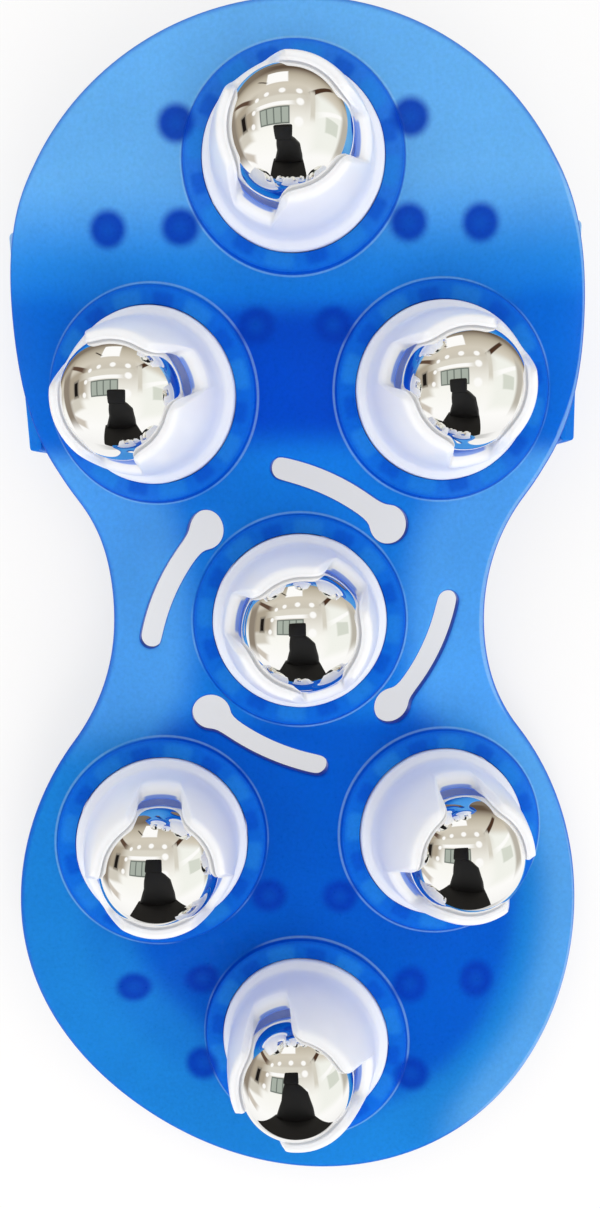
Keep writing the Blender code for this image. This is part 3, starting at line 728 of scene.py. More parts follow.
def keep_places(work):
    """Store each corner's place on the flat plate and from its station."""
    flat = work.loops.layers.uv.new("flat_place")
    away = work.loops.layers.uv.new("from_station")
    depth = work.verts.layers.float.new("edge_depth")
    middles = [(PLACES[name].xy, Matrix.Rotation(-math.radians(STATIONS[name][3]), 2)) for name in STATIONS]
    for face in work.faces:
        centre = face.calc_center_median().xy
        nearest, unturned = min(middles, key=lambda middle: (middle[0] - centre).length)
        for corner in face.loops:
            corner[flat].uv = corner.vert.co.xy
            corner[away].uv = unturned @ (corner.vert.co.xy - nearest)
    hollow = Vector((WAIST + WAIST_RADIUS, 0.0))
    for vert in work.verts:
        x, y = abs(vert.co.x), abs(vert.co.y)
        from_waist = (Vector((x, y)) - hollow).length - WAIST_RADIUS
        from_lobe = LOBE_RADIUS - math.hypot(x, y - LOBE_CENTRE)
        in_waist = y < LOBE_CENTRE * (WAIST + WAIST_RADIUS - x) / (WAIST + WAIST_RADIUS)
        vert[depth] = from_waist if in_waist else from_lobe


def build_plate():
    """Walls first, then the flat faces between them, then the bend."""
    work = bmesh.new()
    build_walls(work)
    print("front sheet:", fill_sheet(work, 0.0), "triangles before the grid")
    print("back sheet:", fill_sheet(work, -PLATE_THICKNESS), "triangles before the grid")
    keep_places(work)
    for vert in work.verts:
        vert.co = bent(vert.co)
    finish_piece(
        work, "glove_plate_sheet", PLATE_MATRIX, "glove", PLATE_PLASTIC, ["glove_plate"],
        sharp=60.0,
    )


build_plate()

# %% [markdown]
# ## White cage plastic
# The cages are a milky white plastic, polished to a satin sheen. Some light
# goes into it and comes out again, so its shadows are soft, and near the
# blue plate it picks up a lavender tint. Subsurface scattering gives the
# first, and a painted tint by height above the plate, which stands for the
# blue light from the plate, strengthens the second. The narrow gap round the
# ball isn't black either, because light soaks through the milky wall. A
# painted blue tint on the notch floors and a faint glow of its own on the
# bore stand for that.

# %% White cage plastic
WHITE_LIT = linear("F8F8F8")
WHITE_FOOT = linear("EDF0FA")
WHITE_BORE = linear("5F88DA")
WALL_GLOW = linear("C9CBD6")
BORE_GLOW = linear("4068C4")
GLOW_STRENGTH = 0.5
# Blotches about three millimetres wide
MOTTLE_SCALE = 350.0


def make_white_material(name, roughness):
    """A milky white plastic with this sheen."""
    material, tree, shader = new_material(
        name,
        {
            "Roughness": roughness,
            "IOR": 1.50,
            "Subsurface Weight": 0.35,
            "Subsurface Scale": 0.002,
            "Subsurface Radius": (0.8, 0.9, 1.0),
        },
    )
    height = add_node(tree, "Attribute", attribute_name="above_plate").outputs["Fac"]
    wall = add_node(tree, "Attribute", attribute_name="by_ball").outputs["Fac"]
    floor = add_node(tree, "Attribute", attribute_name="in_notch").outputs["Fac"]
    # Painted light: blue light from the plate tints the white near its foot, and tints the notch floors a
    # deeper blue
    tint = painted(tree, WHITE_LIT, (
        (height, 0.0110, 0.0015, 1.0, WHITE_FOOT),
        (floor, 0.0, 1.0, 0.85, WHITE_BORE),
    ))
    # A glow of its own, bluer on the notch floors, stands for light that soaks through the wall
    glow = painted(tree, WALL_GLOW, ((floor, 0.0, 1.0, 1.0, BORE_GLOW),))
    tree.links.new(glow, shader.inputs["Emission Color"])
    strength = add_node(tree, "Math", {0: wall, 1: GLOW_STRENGTH}, operation="MULTIPLY").outputs[0]
    tree.links.new(strength, shader.inputs["Emission Strength"])
    material.cycles.emission_sampling = "NONE"
    # The moulded white is never quite even
    coordinates = add_node(tree, "TexCoord").outputs["Object"]
    noise = {"Vector": coordinates, "Scale": MOTTLE_SCALE, "Detail": 1.0}
    mottle = add_node(tree, "TexNoise", noise).outputs["Fac"]
    value = add_node(tree, "MapRange", {
        "Value": mottle, "From Min": NOISE_LOW, "From Max": NOISE_HIGH, "To Min": 0.99, "To Max": 1.01
    }).outputs["Result"]
    colour = add_node(tree, "HueSaturation", {"Value": value, "Color": tint}).outputs["Color"]
    tree.links.new(colour, shader.inputs["Base Color"])
    return material


CAGE_PLASTIC = make_white_material("satin_white_plastic", 0.30)
CAP_PLASTIC = make_white_material("satin_white_cap_plastic", 0.36)
print("materials:", CAGE_PLASTIC.name, CAP_PLASTIC.name)

# %% [markdown]
# ## The ball cages
# A cage is a turned wall: a skirt that sits in the plate, a small ledge, a
# dome, and a rim that curls in over the ball. Three notches part the rim
# into claws. Cutting the notches with another shape would leave ragged
# edges. Instead, the closed section is spun into a ring of even columns, and
# the columns are moved: those in a notch drop to its floor, and those
# beside it stand at its straight sides. The grid stays whole, so
# subdivision rounds every edge as a mould does.

# %% Cage section
CAGE_TOP = BALL_HEIGHT + 0.0043
DOME_FOOT = 0.0023
BORE_RADIUS = BALL_RADIUS + 0.00014
RIM_INNER = math.sqrt(BORE_RADIUS**2 - (CAGE_TOP - BALL_HEIGHT) ** 2)
RIM_OUTER = RIM_INNER + 0.0017
CAP_SEAT_RADIUS = SKIRT_RADIUS - 0.0012
CAP_SEAT_DEPTH = 0.0015
CLAW_COUNT = 3
NOTCH_FLOOR = BALL_HEIGHT - 0.0035
RIM_DROP = 0.0006
DOME_POWER = 1.8


def dome_radius(height):
    """The dome's outside: upright at its foot, and ever more curved inwards."""
    share = (height - DOME_FOOT) / (CAGE_TOP - RIM_DROP - DOME_FOOT)
    return DOME_RADIUS - (DOME_RADIUS - RIM_OUTER) * max(share, 0.0) ** DOME_POWER


def bore_radius(height):
    """The bore: a cylinder up to the ball's middle, and a sphere above it."""
    return math.sqrt(BORE_RADIUS**2 - max(height - BALL_HEIGHT, 0.0) ** 2)


INNER_LOW = [
    (CAP_SEAT_RADIUS, -PLATE_THICKNESS),
    (CAP_SEAT_RADIUS, -PLATE_THICKNESS + 0.0002),
    (CAP_SEAT_RADIUS, CAP_SEAT_DEPTH - PLATE_THICKNESS),
    (SOCKET_RADIUS + 0.0002, CAP_SEAT_DEPTH - PLATE_THICKNESS),
    (SOCKET_RADIUS, CAP_SEAT_DEPTH - PLATE_THICKNESS + 0.0002),
    (SOCKET_RADIUS, 0.0030),
    (BORE_RADIUS, 0.0060),
    (BORE_RADIUS, NOTCH_FLOOR - 0.0008),
]
INNER_HIGH = [(bore_radius(h), h) for h in (0.0096, 0.0112, 0.0128, 0.0142, 0.0154, 0.0163)]
RIM = [
    (RIM_INNER + 0.00012, CAGE_TOP - 0.00024),
    (RIM_INNER + 0.00022, CAGE_TOP - 0.00005),
    (RIM_INNER + 0.00058, CAGE_TOP + 0.00002),
    (RIM_INNER + 0.00108, CAGE_TOP - 0.00003),
    (RIM_INNER + 0.00155, CAGE_TOP - 0.00036),
]
OUTER_HIGH = [(dome_radius(h), h) for h in (0.0163, 0.0152, 0.0139, 0.0125, 0.0111, 0.0098, 0.0086, 0.0076)]
OUTER_LOW = [(dome_radius(h), h) for h in (0.0066, 0.0050, 0.0037)] + [
    (DOME_RADIUS + 0.00003, 0.0027),
    (DOME_RADIUS + 0.00025, 0.0022),
    (DOME_RADIUS + 0.00080, 0.00198),
    (SKIRT_RADIUS - 0.00025, 0.00178),
    (SKIRT_RADIUS - 0.00003, 0.00148),
    (SKIRT_RADIUS, 0.0010),
    (SKIRT_RADIUS, LUG_MIDDLE),
    (SKIRT_RADIUS, -PLATE_THICKNESS + 0.0002),
    (SKIRT_RADIUS - 0.0002, -PLATE_THICKNESS),
    (CAP_SEAT_RADIUS + 0.0002, -PLATE_THICKNESS),
]
FLOOR_PATH = [
    (BORE_RADIUS, NOTCH_FLOOR - 0.0008),
    (BORE_RADIUS + 0.00006, NOTCH_FLOOR - 0.00025),
    (BORE_RADIUS + 0.0003, NOTCH_FLOOR),
    (BORE_RADIUS + 0.0009, NOTCH_FLOOR - 0.00006),
    (BORE_RADIUS + 0.0015, NOTCH_FLOOR - 0.0003),
    (BORE_RADIUS + 0.0020, NOTCH_FLOOR - 0.0008),
    (BORE_RADIUS + 0.00237, NOTCH_FLOOR - 0.0014),
    (dome_radius(0.0074), 0.0074),
    OUTER_LOW[0],
]
SECTION = INNER_LOW + INNER_HIGH + RIM + OUTER_HIGH + OUTER_LOW
MOVED_ROWS = range(len(INNER_LOW), len(SECTION) - len(OUTER_LOW))
print("cage section:", len(SECTION), "points, of which a notch moves", len(MOVED_ROWS))

# %% Cage columns
# How far a column is from its notch's middle plane, how far the notch's soft
# corner lifts it off the floor, what the claw's round corner takes off its
# height, and its share of the outer side's retreat. A drop of None is a
# column on the floor.
NOTCH_COLUMNS = (
    (0.0, 0.0, None, 0.0), (0.0012, 0.00002, None, 0.0), (0.0021, 0.00018, None, 0.0),
    (0.0027, 0.00055, None, 0.0), (0.00305, 0.0012, None, 0.0),
    (0.00322, 0.0, 0.00230, 0.85), (0.00342, 0.0, 0.00130, 1.0), (0.00376, 0.0, 0.00060, 0.7),
    (0.0042, 0.0, 0.00020, 0.4), (0.0048, 0.0, 0.0, 0.1),
)
# A claw's end is round from above too: how far each row of its outer side
# draws back, from the rim's inner edge down the dome
RETREAT = [0.0] * len(INNER_HIGH) + [
    0.0, 0.00005, 0.0003, 0.0007, 0.0010, 0.0011, 0.0010, 0.0008, 0.00055, 0.0003, 0.00015, 0.00005, 0.0
]
CLAW_STEPS = 8
SECTOR = math.tau / CLAW_COUNT


def along_path(path, share):
    """A point at this share of a path's length."""
    points = np.array(path)
    lengths = np.concatenate([[0.0], np.cumsum(np.linalg.norm(np.diff(points, axis=0), axis=1))])
    where = share * lengths[-1]
    return tuple(np.interp(where, lengths, points[:, axis]) for axis in (0, 1))


def column_section(lift, drop):
    """The section of one column: a claw's, or the notch floor's."""
    section = list(SECTION)
    for step, row in enumerate(MOVED_ROWS):
        radius, height = section[row]
        share = (step + 1) / (len(MOVED_ROWS) + 1)
        if drop is None:
            radius, height = along_path(FLOOR_PATH, share)
            section[row] = (radius, height + lift * math.sin(math.pi * share) ** 0.5)
        elif drop and height > NOTCH_FLOOR:
            lower = NOTCH_FLOOR + (height - NOTCH_FLOOR) * (1 - drop / (CAGE_TOP - NOTCH_FLOOR))
            wall = dome_radius if row > MOVED_ROWS[0] + len(INNER_HIGH) + 2 else bore_radius
            section[row] = (radius + wall(lower) - wall(height), lower)
    return section


def retreat(row):
    """How far a row of a claw's end draws back."""
    return RETREAT[row - MOVED_ROWS[0]] if row in MOVED_ROWS else 0.0


def column_angle(k, away, pull, share):
    """A rule for a column's angle, so far from a notch's middle plane.

    A share of 0 measures from notch k, and 1 from the next one, backwards.
    """
    def angle(radius, row):
        off = math.asin((away + pull * retreat(row)) / radius)
        return k * SECTOR + off + share * (SECTOR - 2 * off)
    return angle


def cage_columns():
    """Each column's section, and its rule for the angle by radius and row."""
    columns = []
    edge = NOTCH_COLUMNS[-1][0]
    notch = [(column_section(lift, drop), away, pull) for away, lift, drop, pull in NOTCH_COLUMNS]
    for k in range(CLAW_COUNT):
        columns += [(section, column_angle(k, away, pull, 0.0)) for section, away, pull in notch]
        for step in range(1, CLAW_STEPS + 1):
            columns.append((SECTION, column_angle(k, edge, 0.0, step / (CLAW_STEPS + 1))))
        columns += [(section, column_angle(k, away, pull, 1.0)) for section, away, pull in notch[:0:-1]]
    return columns


COLUMNS = cage_columns()
print("cage:", len(COLUMNS), "columns round")

# %% [markdown]
# The eight lugs are small blocks that share the skirt's mesh. Each corner also
# keeps what the material needs: its height above the plate, whether it is on
# the bore, next to the ball, and whether it is on a notch's floor there.

# %% Build the cages
LUG_REACH = 0.0022
LUG_WIDTH = 0.0044
LUG_THICKNESS = 0.0010
LUG_CREASE = 0.85
# How near to the bore or the notch's floor a corner counts as on it
BORE_SKIN = 0.0003
FLOOR_SKIN = 0.0004
FLOOR_REACH = 0.0007
BORE_SHARE = 0.6
FLOOR_SHARE = 0.4


def add_lugs(work):
    """The eight lugs of the flange, which the plate's groove grips."""
    crease = work.edges.layers.float.new("crease_edge")
    inner = (CAP_SEAT_RADIUS + SKIRT_RADIUS) / 2
    outer = SKIRT_RADIUS + LUG_REACH
    for k in range(LUG_COUNT):
        place = (
            Matrix.Rotation(LUG_TURN + math.tau * k / LUG_COUNT, 4, "Z")
            @ Matrix.Translation(((inner + outer) / 2, 0.0, LUG_MIDDLE))
            @ Matrix.Diagonal((outer - inner, LUG_WIDTH, LUG_THICKNESS, 1.0))
        )
        made = bmesh.ops.create_cube(work, size=1.0, matrix=place)["verts"]
        for edge in {e for vert in made for e in vert.link_edges}:
            edge[crease] = LUG_CREASE


def build_cage(name):
    """Spin the section, move its columns into claws and add the lugs."""
    work = bmesh.new()
    row_of = work.verts.layers.int.new("row")
    above = work.verts.layers.float.new("above_plate")
    by_ball = work.verts.layers.float.new("by_ball")
    in_notch = work.verts.layers.float.new("in_notch")
    verts = [work.verts.new((radius, 0.0, height)) for radius, height in SECTION]
    for row, vert in enumerate(verts):
        vert[row_of] = row
    edges = [work.edges.new(pair) for pair in zip(verts, verts[1:] + verts[:1])]
    bmesh.ops.spin(
        work, geom=verts + edges, cent=(0.0, 0.0, 0.0), axis=(0.0, 0.0, 1.0), dvec=(0.0, 0.0, 0.0),
        angle=math.tau, steps=len(COLUMNS), use_merge=True, use_normal_flip=False, use_duplicate=False,
    )
    for vert in work.verts:
        turn = math.atan2(vert.co.y, vert.co.x) % math.tau
        section, angle_at = COLUMNS[round(turn / math.tau * len(COLUMNS)) % len(COLUMNS)]
        radius, height = section[vert[row_of]]
        angle = angle_at(radius, vert[row_of])
        vert.co = (radius * math.cos(angle), radius * math.sin(angle), height)
        on_bore = radius < bore_radius(height) + BORE_SKIN
        on_floor = height < NOTCH_FLOOR + FLOOR_SKIN and radius < BORE_RADIUS + FLOOR_REACH
        vert[by_ball] = float(on_bore) * BORE_SHARE + float(on_floor) * FLOOR_SHARE
        vert[in_notch] = float(on_floor)
    add_lugs(work)
    for vert in work.verts:
        vert[above] = vert.co.z
    turned = PLATE_MATRIX @ FRAMES[name] @ Matrix.Rotation(math.radians(STATIONS[name][3]), 4, "Z")
    cage = finish_piece(
        work, "clawed_cage_" + name, turned, "glove", CAGE_PLASTIC, ["ball_cage_" + name]
    )
    rounding = cage.modifiers.new("rounding", "SUBSURF")
    rounding.levels = rounding.render_levels = 2


for station in STATIONS:
    build_cage(station)

# %% [markdown]
# ## Polished steel
# The balls are bearing balls: chrome steel ground and lapped to a mirror. A
# mirror's look is what it reflects, so the material is nearly plain: full
# metal, a very low roughness, and faint handling marks that show only as a
# slight haze.

# %% Polished steel
STEEL = linear("F1F0ED")
# Handling marks about six millimetres wide
MARK_SCALE = 160.0


def make_steel_material():
    """A mirror, with a haze of handling marks."""
    material, tree, shader = new_material("polished_chrome_steel", {"Metallic": 1.0})
    coordinates = add_node(tree, "TexCoord").outputs["Object"]
    noise = {"Vector": coordinates, "Scale": MARK_SCALE, "Detail": 4.0}
    marks = add_node(tree, "TexNoise", noise).outputs["Fac"]
    rough = add_node(tree, "MapRange", {
        "Value": marks, "From Min": 0.45, "From Max": 0.8, "To Min": 0.012, "To Max": 0.04
    }).outputs["Result"]
    tree.links.new(rough, shader.inputs["Roughness"])
    tone = add_node(tree, "MapRange", {
        "Value": marks, "From Min": NOISE_LOW, "From Max": NOISE_HIGH, "To Min": 0.985, "To Max": 1.0
    }).outputs["Result"]
    colour = add_node(tree, "HueSaturation", {"Value": tone, "Color": STEEL}).outputs["Color"]
    tree.links.new(colour, shader.inputs["Base Color"])
    return material


BALL_STEEL = make_steel_material()
BALL_SEGMENTS = 96
BALL_RINGS = 48


def build_ball(name):
    """One ball, on its own body, so that it can roll."""
    work = bmesh.new()
    bmesh.ops.create_uvsphere(work, u_segments=BALL_SEGMENTS, v_segments=BALL_RINGS, radius=BALL_RADIUS)
    place = PLATE_MATRIX @ FRAMES[name] @ Matrix.Translation((0.0, 0.0, BALL_HEIGHT))
    finish_piece(
        work, "steel_ball_" + name, place, "ball_" + name, BALL_STEEL, ["roller_ball_" + name]
    )


for station in STATIONS:
    build_ball(station)

# %% [markdown]
# ## The back caps
# A cap closes each cage on the hand side and carries the ball on a dished
# post. It is one turned profile. Its back has a shallow round step and the
# dimple of the mould's gate, as such caps have.

# %% Build the caps
CAP_FIT = 0.0003
CAP_PROUD = 0.0006
CAP_CHAMFER = 0.0005
SEAT_DROP = 0.0062
CAP_STEPS = 72
# The caps are below the plate, where the white's painted blue light would be at its full
CAP_TINT_LIFT = 0.006
# The back, from its rim to its middle: share of the disc's radius, and how far
# up into the cap
CAP_BACK = (
    (0.80, 0.0), (0.78, 0.00005), (0.77, 0.0003), (0.24, 0.0003), (0.22, 0.00022),
    (0.10, 0.00022), (0.07, 0.0006), (0.0, 0.0007),
)


def cap_profile():
    """The cap's wall, from the dish's middle out, down and back in."""
    disc = CAP_SEAT_RADIUS - CAP_FIT
    disc_top = CAP_SEAT_DEPTH - PLATE_THICKNESS - CAP_FIT
    low = -PLATE_THICKNESS - CAP_PROUD
    post = SOCKET_RADIUS - CAP_FIT
    start = math.asin(SEAT_DROP / SOCKET_RADIUS)
    dish = arc((0.0, BALL_HEIGHT), SOCKET_RADIUS, -math.pi / 2, -start, 8, ended=True)
    dish[0] = (0.0, BALL_HEIGHT - SOCKET_RADIUS)
    edge = arc((disc - CAP_CHAMFER, low + CAP_CHAMFER), CAP_CHAMFER, 0.0, -math.pi / 2, 4, ended=True)
    back = [(disc * share, low + inward) for share, inward in CAP_BACK]
    return dish + [(post, BALL_HEIGHT - SEAT_DROP), (post, disc_top), (disc, disc_top)] + edge + back


def build_cap(name):
    """One cap, set in the foot of its cage."""
    work = bmesh.new()
    above = work.verts.layers.float.new("above_plate")
    spun(work, cap_profile(), CAP_STEPS)
    for vert in work.verts:
        vert[above] = CAP_TINT_LIFT + vert.co.z
    place = PLATE_MATRIX @ FRAMES[name]
    finish_piece(
        work, "ball_cap_" + name, place, "glove", CAP_PLASTIC, ["back_cap_" + name], sharp=35.0
    )


for station in STATIONS:
    build_cap(station)

# %% [markdown]
# ## The hand strap
# The strap is a wide band with a flat crown and two upright walls, bonded
# to the plate's underside. Its section is a flat outline, extruded to the
# strap's width and bevelled. The walls are then cut to the bent plate, which
# leaves their corners standing beside it, as in the picture.

# %% Strap plastic
BLUE_HORN = linear("94BCE6")


def make_strap_material():
    """The strap's plastic: the same frosted blue, with painted light that makes it paler higher up and at its
    free ends.
    """
    material, tree, shader = new_material("frosted_blue_strap_plastic", FROSTED)
    coordinates = add_node(tree, "TexCoord").outputs["Object"]
    clouds, grain = plastic_noise(tree, coordinates)
    place = add_node(tree, "SeparateXYZ", {0: coordinates})
    along, up = place.outputs["Y"], place.outputs["Z"]
    # Painted light: the walls lighten towards their top, and the wall tops at the free end stand in the light
    # and look pale
    free_end = both(tree, ((along, 0.044, 0.054), (up, 0.007, 0.013)))
    base = painted(tree, BLUE_OPEN, (
        (clouds, NOISE_LOW, NOISE_HIGH, 0.5, BLUE_MID),
        (up, 0.012, 0.020, 0.6, BLUE_FREE),
        (free_end, 0.0, 1.0, 0.9, BLUE_HORN),
    ))
    frost(tree, shader, base, grain, 1.0)
    return material


STRAP_PLASTIC = make_strap_material()
print("material:", STRAP_PLASTIC.name)

# %% Build the strap
STRAP_OUTER = LOBE_RADIUS - 0.0012
STRAP_THICKNESS = 0.0024
STRAP_CORNER = 0.014
STRAP_ROUND = 0.0006
STRAP_CORNER_STEPS = 14
STRAP_GAP = 0.0001
# The walls are made past the plate's highest point, and cut down afterwards
WALL_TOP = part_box("glove_plate")[1].z + 0.001


def strap_outline():
    """The strap's section: across and up, round the outside and back inside."""
    inner = STRAP_OUTER - STRAP_THICKNESS
    bend_at = STRAP_OUTER - STRAP_CORNER
    tight = STRAP_CORNER - STRAP_THICKNESS
    left, down, right = math.pi, 1.5 * math.pi, math.tau
    points = [(-STRAP_OUTER, WALL_TOP)]
    points += arc((-bend_at, STRAP_CORNER), STRAP_CORNER, left, down, STRAP_CORNER_STEPS, ended=True)
    points += arc((bend_at, STRAP_CORNER), STRAP_CORNER, down, right, STRAP_CORNER_STEPS, ended=True)
    points += [(STRAP_OUTER, WALL_TOP), (inner, WALL_TOP)]
    points += arc((bend_at, STRAP_CORNER), tight, right, down, STRAP_CORNER_STEPS, ended=True)
    points += arc((-bend_at, STRAP_CORNER), tight, down, left, STRAP_CORNER_STEPS, ended=True)
    return points + [(-inner, WALL_TOP)]


def bent_block(name, outline, low, high):
    """A block over the flat plate, bent with it, that cuts the strap."""
    work = bmesh.new()
    verts, edges = add_loop(work, outline, low)
    extrude_to(work, verts, edges, outline, high)
    for height in (low, high):
        fill_sheet(work, height)
    bmesh.ops.triangulate(work, faces=work.faces)
    for vert in work.verts:
        vert.co = PLATE_MATRIX @ bent(vert.co)
    bmesh.ops.recalc_face_normals(work, faces=work.faces)
    return add_object(work, name)


def build_strap():
    """Extrude and round the strap, then cut its walls to the bent plate."""
    work = bmesh.new()
    edges = add_loop(work, strap_outline(), 0.0)[1]
    face = bmesh.ops.contextual_create(work, geom=edges)["faces"][0]
    made = bmesh.ops.extrude_face_region(work, geom=[face])["geom"]
    moved = [v for v in made if isinstance(v, bmesh.types.BMVert)]
    bmesh.ops.translate(work, verts=moved, vec=(0.0, 0.0, STRAP_WIDTH))
    bmesh.ops.recalc_face_normals(work, faces=work.faces)
    rims = [e for e in work.edges if abs(e.verts[0].co.z - e.verts[1].co.z) < SAME_PLACE]
    bmesh.ops.bevel(
        work, geom=rims, offset=STRAP_ROUND, segments=4, profile=0.5, affect="EDGES", material=-1
    )
    middle = (PLATE_MATRIX @ Vector((0.0, STRAP_MIDDLE, -PLATE_THICKNESS))).y
    stand = Matrix.Translation((0.0, middle + STRAP_WIDTH / 2, 0.0)) @ Matrix.Rotation(math.pi / 2, 4, "X")
    strap = finish_piece(
        work, "hand_strap_band", stand, "glove", STRAP_PLASTIC, ["hand_strap"], sharp=35.0
    )
    side = LOBE_CENTRE + LOBE_RADIUS
    square = [(-side, -side), (side, -side), (side, side), (-side, side)]
    for name, outline, low in (
        ("plate_room", plate_outline(STRAP_GAP), -PLATE_THICKNESS - STRAP_GAP),
        ("over_plate", square, -EDGE_ROUND),
    ):
        block = bent_block(name, outline, low, WALL_TOP)
        cut = strap.modifiers.new(name, "BOOLEAN")
        cut.operation = "DIFFERENCE"
        cut.object = block
        bpy.context.view_layer.update()
        mesh = bpy.data.meshes.new_from_object(strap.evaluated_get(bpy.context.evaluated_depsgraph_get()))
        strap.modifiers.clear()
        strap.data = mesh
        bpy.data.objects.remove(block)
    check = bmesh.new()
    check.from_mesh(strap.data)
    open_edges = sum(1 for edge in check.edges if not edge.is_manifold)
    print("strap after its cuts: faces", len(check.faces), "open edges", open_edges)
    check.free()


build_strap()

# %% [markdown]
# ## Floor, lamp and what the steel reflects
# The picture has a plain white ground. The floor is a matt white sheet. The
# camera sees it as part white light and part lit paper, which keeps a faint
# shadow of the glove. Most light comes from all round, and one large soft
# lamp stands at the foot of the picture.

# %% Floor and lamp
FLOOR_HALF = 2.0
FLOOR_DROP = 0.0001
# How much of the floor the camera sees as plain white, and how bright that is
FLOOR_GLOW = 0.60
FLOOR_LEVEL = 1.06
WHITE_PAPER = linear("F8F5F0")
LAMP_PLACE = (0.12, -0.45, 0.55)
LAMP_TARGET = (0.0, 0.0, 0.01)
LAMP_SIZE = 0.40
LAMP_POWER = 1.4


def seen_directly(tree, path):
    """One for rays of the camera, also those that went through something."""
    rays = {0: path.outputs["Is Camera Ray"], 1: path.outputs["Is Transmission Ray"]}
    return add_node(tree, "Math", rays, operation="MAXIMUM").outputs[0]


def build_floor():
    """A wide sheet of matt white paper."""
    material, tree, shader = new_material(
        "white_paper", {"Base Color": WHITE_PAPER, "Roughness": 0.9, "Specular IOR Level": 0.1}
    )
    path = add_node(tree, "LightPath")
    rays = {0: seen_directly(tree, path), 1: path.outputs["Is Glossy Ray"]}
    seen = add_node(tree, "Math", rays, operation="MAXIMUM").outputs[0]
    share = add_node(tree, "Math", {0: seen, 1: FLOOR_GLOW}, operation="MULTIPLY").outputs[0]
    white = add_node(tree, "Emission", {"Color": (1.0, 1.0, 1.0, 1.0), "Strength": FLOOR_LEVEL}).outputs[0]
    shown = add_node(tree, "MixShader", {"Fac": share, 1: shader.outputs[0], 2: white}).outputs[0]
    tree.links.new(shown, tree.nodes["Material Output"].inputs["Surface"])
    work = bmesh.new()
    bmesh.ops.create_grid(work, x_segments=2, y_segments=2, size=FLOOR_HALF)
    bmesh.ops.translate(work, verts=work.verts, vec=(0.0, 0.0, -FLOOR_DROP))
    floor = add_object(work, "floor", material)
    floor.visible_glossy = False


def build_lamp():
    """One large soft lamp, which the steel doesn't mirror."""
    light = bpy.data.lights.new("key_lamp", "AREA")
    light.shape = "SQUARE"
    light.size = LAMP_SIZE
    light.energy = LAMP_POWER
    lamp = bpy.data.objects.new("key_lamp", light)
    lamp.location = LAMP_PLACE
    lamp.rotation_euler = (Vector(LAMP_TARGET) - Vector(LAMP_PLACE)).to_track_quat("-Z", "Y").to_euler()
    lamp.visible_glossy = False
    bpy.context.scene.collection.objects.link(lamp)


build_floor()
build_lamp()
print("floor and lamp are set")

# %% [markdown]
# A mirror needs a room. The world is plain white for the camera. For matt
# surfaces it is an even soft light, brightest at the horizon, which keeps the
# cages' flanks white. For reflections it is a quiet studio: pale walls under a
# warm ceiling with two dark beams, a window with four panes, and ceiling
# spots. Directions are laid flat by stereographic projection, which is how a
# mirror ball shows them: the middle is straight up, the horizon is a circle
# of radius one, and the room goes on below that, because the glove lies on a
# high table. Each thing in the room is a soft rectangle on that flat map, and
# each ceiling spot is a soft disc.

# %% Studio world
WALL_STOPS = (
    (0.00, linear("F6F6F6")),
    (0.25, linear("FFFFFF")),
    (0.46, linear("FAFAF6")),
    (0.54, linear("EAE8E1")),
    (0.65, linear("CBC5B9")),
    (0.75, linear("D4CDBF")),
    (0.88, linear("B9B09F")),
    (1.00, linear("7D7163")),
)
# Middle, half size, turn in degrees, softness of the edge, colour
ROOM_PATCHES = (
    ((1.00, 0.02), (0.60, 0.48), 0.0, 0.25, linear("F3F5F0")),
    ((-0.90, 0.22), (0.34, 0.27), 0.0, 0.30, linear("AEA392")),
    ((-0.95, -0.16), (0.26, 0.12), 10.0, 0.40, linear("D2CDC2")),
    ((-0.98, -0.52), (0.20, 0.10), -20.0, 0.40, linear("CCC4BA")),
    ((-0.93, 0.62), (0.34, 0.045), -30.0, 0.30, linear("5E493C")),
    ((0.60, 0.71), (0.34, 0.042), 45.0, 0.25, linear("4A3427")),
    ((0.37, 0.28), (0.040, 0.24), 0.0, 0.30, linear("D6D2C7")),
    ((0.84, 0.04), (0.20, 0.13), 4.0, 0.15, linear("D6DBD1")),
    ((0.86, 0.30), (0.38, 0.040), 24.0, 0.40, linear("FFFFFF")),
    ((-0.17, 0.86), (0.17, 0.19), 0.0, 0.08, linear("FFFFFF")),
    ((-0.42, 0.80), (0.11, 0.014), -42.0, 0.40, linear("3F362E")),
    ((-0.22, 0.33), (0.44, 0.060), 0.0, 0.40, linear("DCD8CD")),
    ((-0.22, 0.245), (0.28, 0.030), 0.0, 0.30, linear("FFFFFF")),
    ((-0.86, 0.14), (0.095, 0.17), 0.0, 0.15, linear("8C857A")),
    ((-0.86, 0.14), (0.060, 0.13), 0.0, 0.10, linear("1F1B19")),
    ((-0.22, 0.070), (0.235, 0.130), 0.0, 0.04, linear("707872")),
    ((-1.45, 0.10), (0.28, 0.70), 0.0, 0.35, linear("8E8376")),
    ((1.45, 0.10), (0.26, 0.60), 0.0, 0.40, linear("B9B4AA")),
    ((0.30, 1.45), (0.70, 0.20), 0.0, 0.40, linear("5F5042")),
    ((0.10, -1.50), (0.90, 0.16), 0.0, 0.50, linear("C9C9C9")),
)
WINDOW_LEFT = -0.445
PANE_COUNT = 4
PANE_WIDTH = 0.1125
PANE_LOW, PANE_HIGH = -0.045, 0.185
# From a bar's middle line: where the bar ends, and where the glass is clear
BAR_HALF, GLASS_START = 0.006, 0.014
ACROSS_SOFT, ALONG_SOFT = 0.010, 0.012
GLASS = linear("A9B2A9")
# Place on the flat map, and size
SPOTS = (
    (-0.50, 0.41, 0.034), (-0.33, 0.45, 0.036), (-0.09, 0.47, 0.042), (0.16, 0.46, 0.042),
    (-0.57, 0.21, 0.034), (0.17, 0.27, 0.050), (-0.61, -0.01, 0.040), (0.15, -0.03, 0.060),
)
# A spot's soft edge, outside and inside, in shares of its size
SPOT_EDGE = (1.5, 0.8)
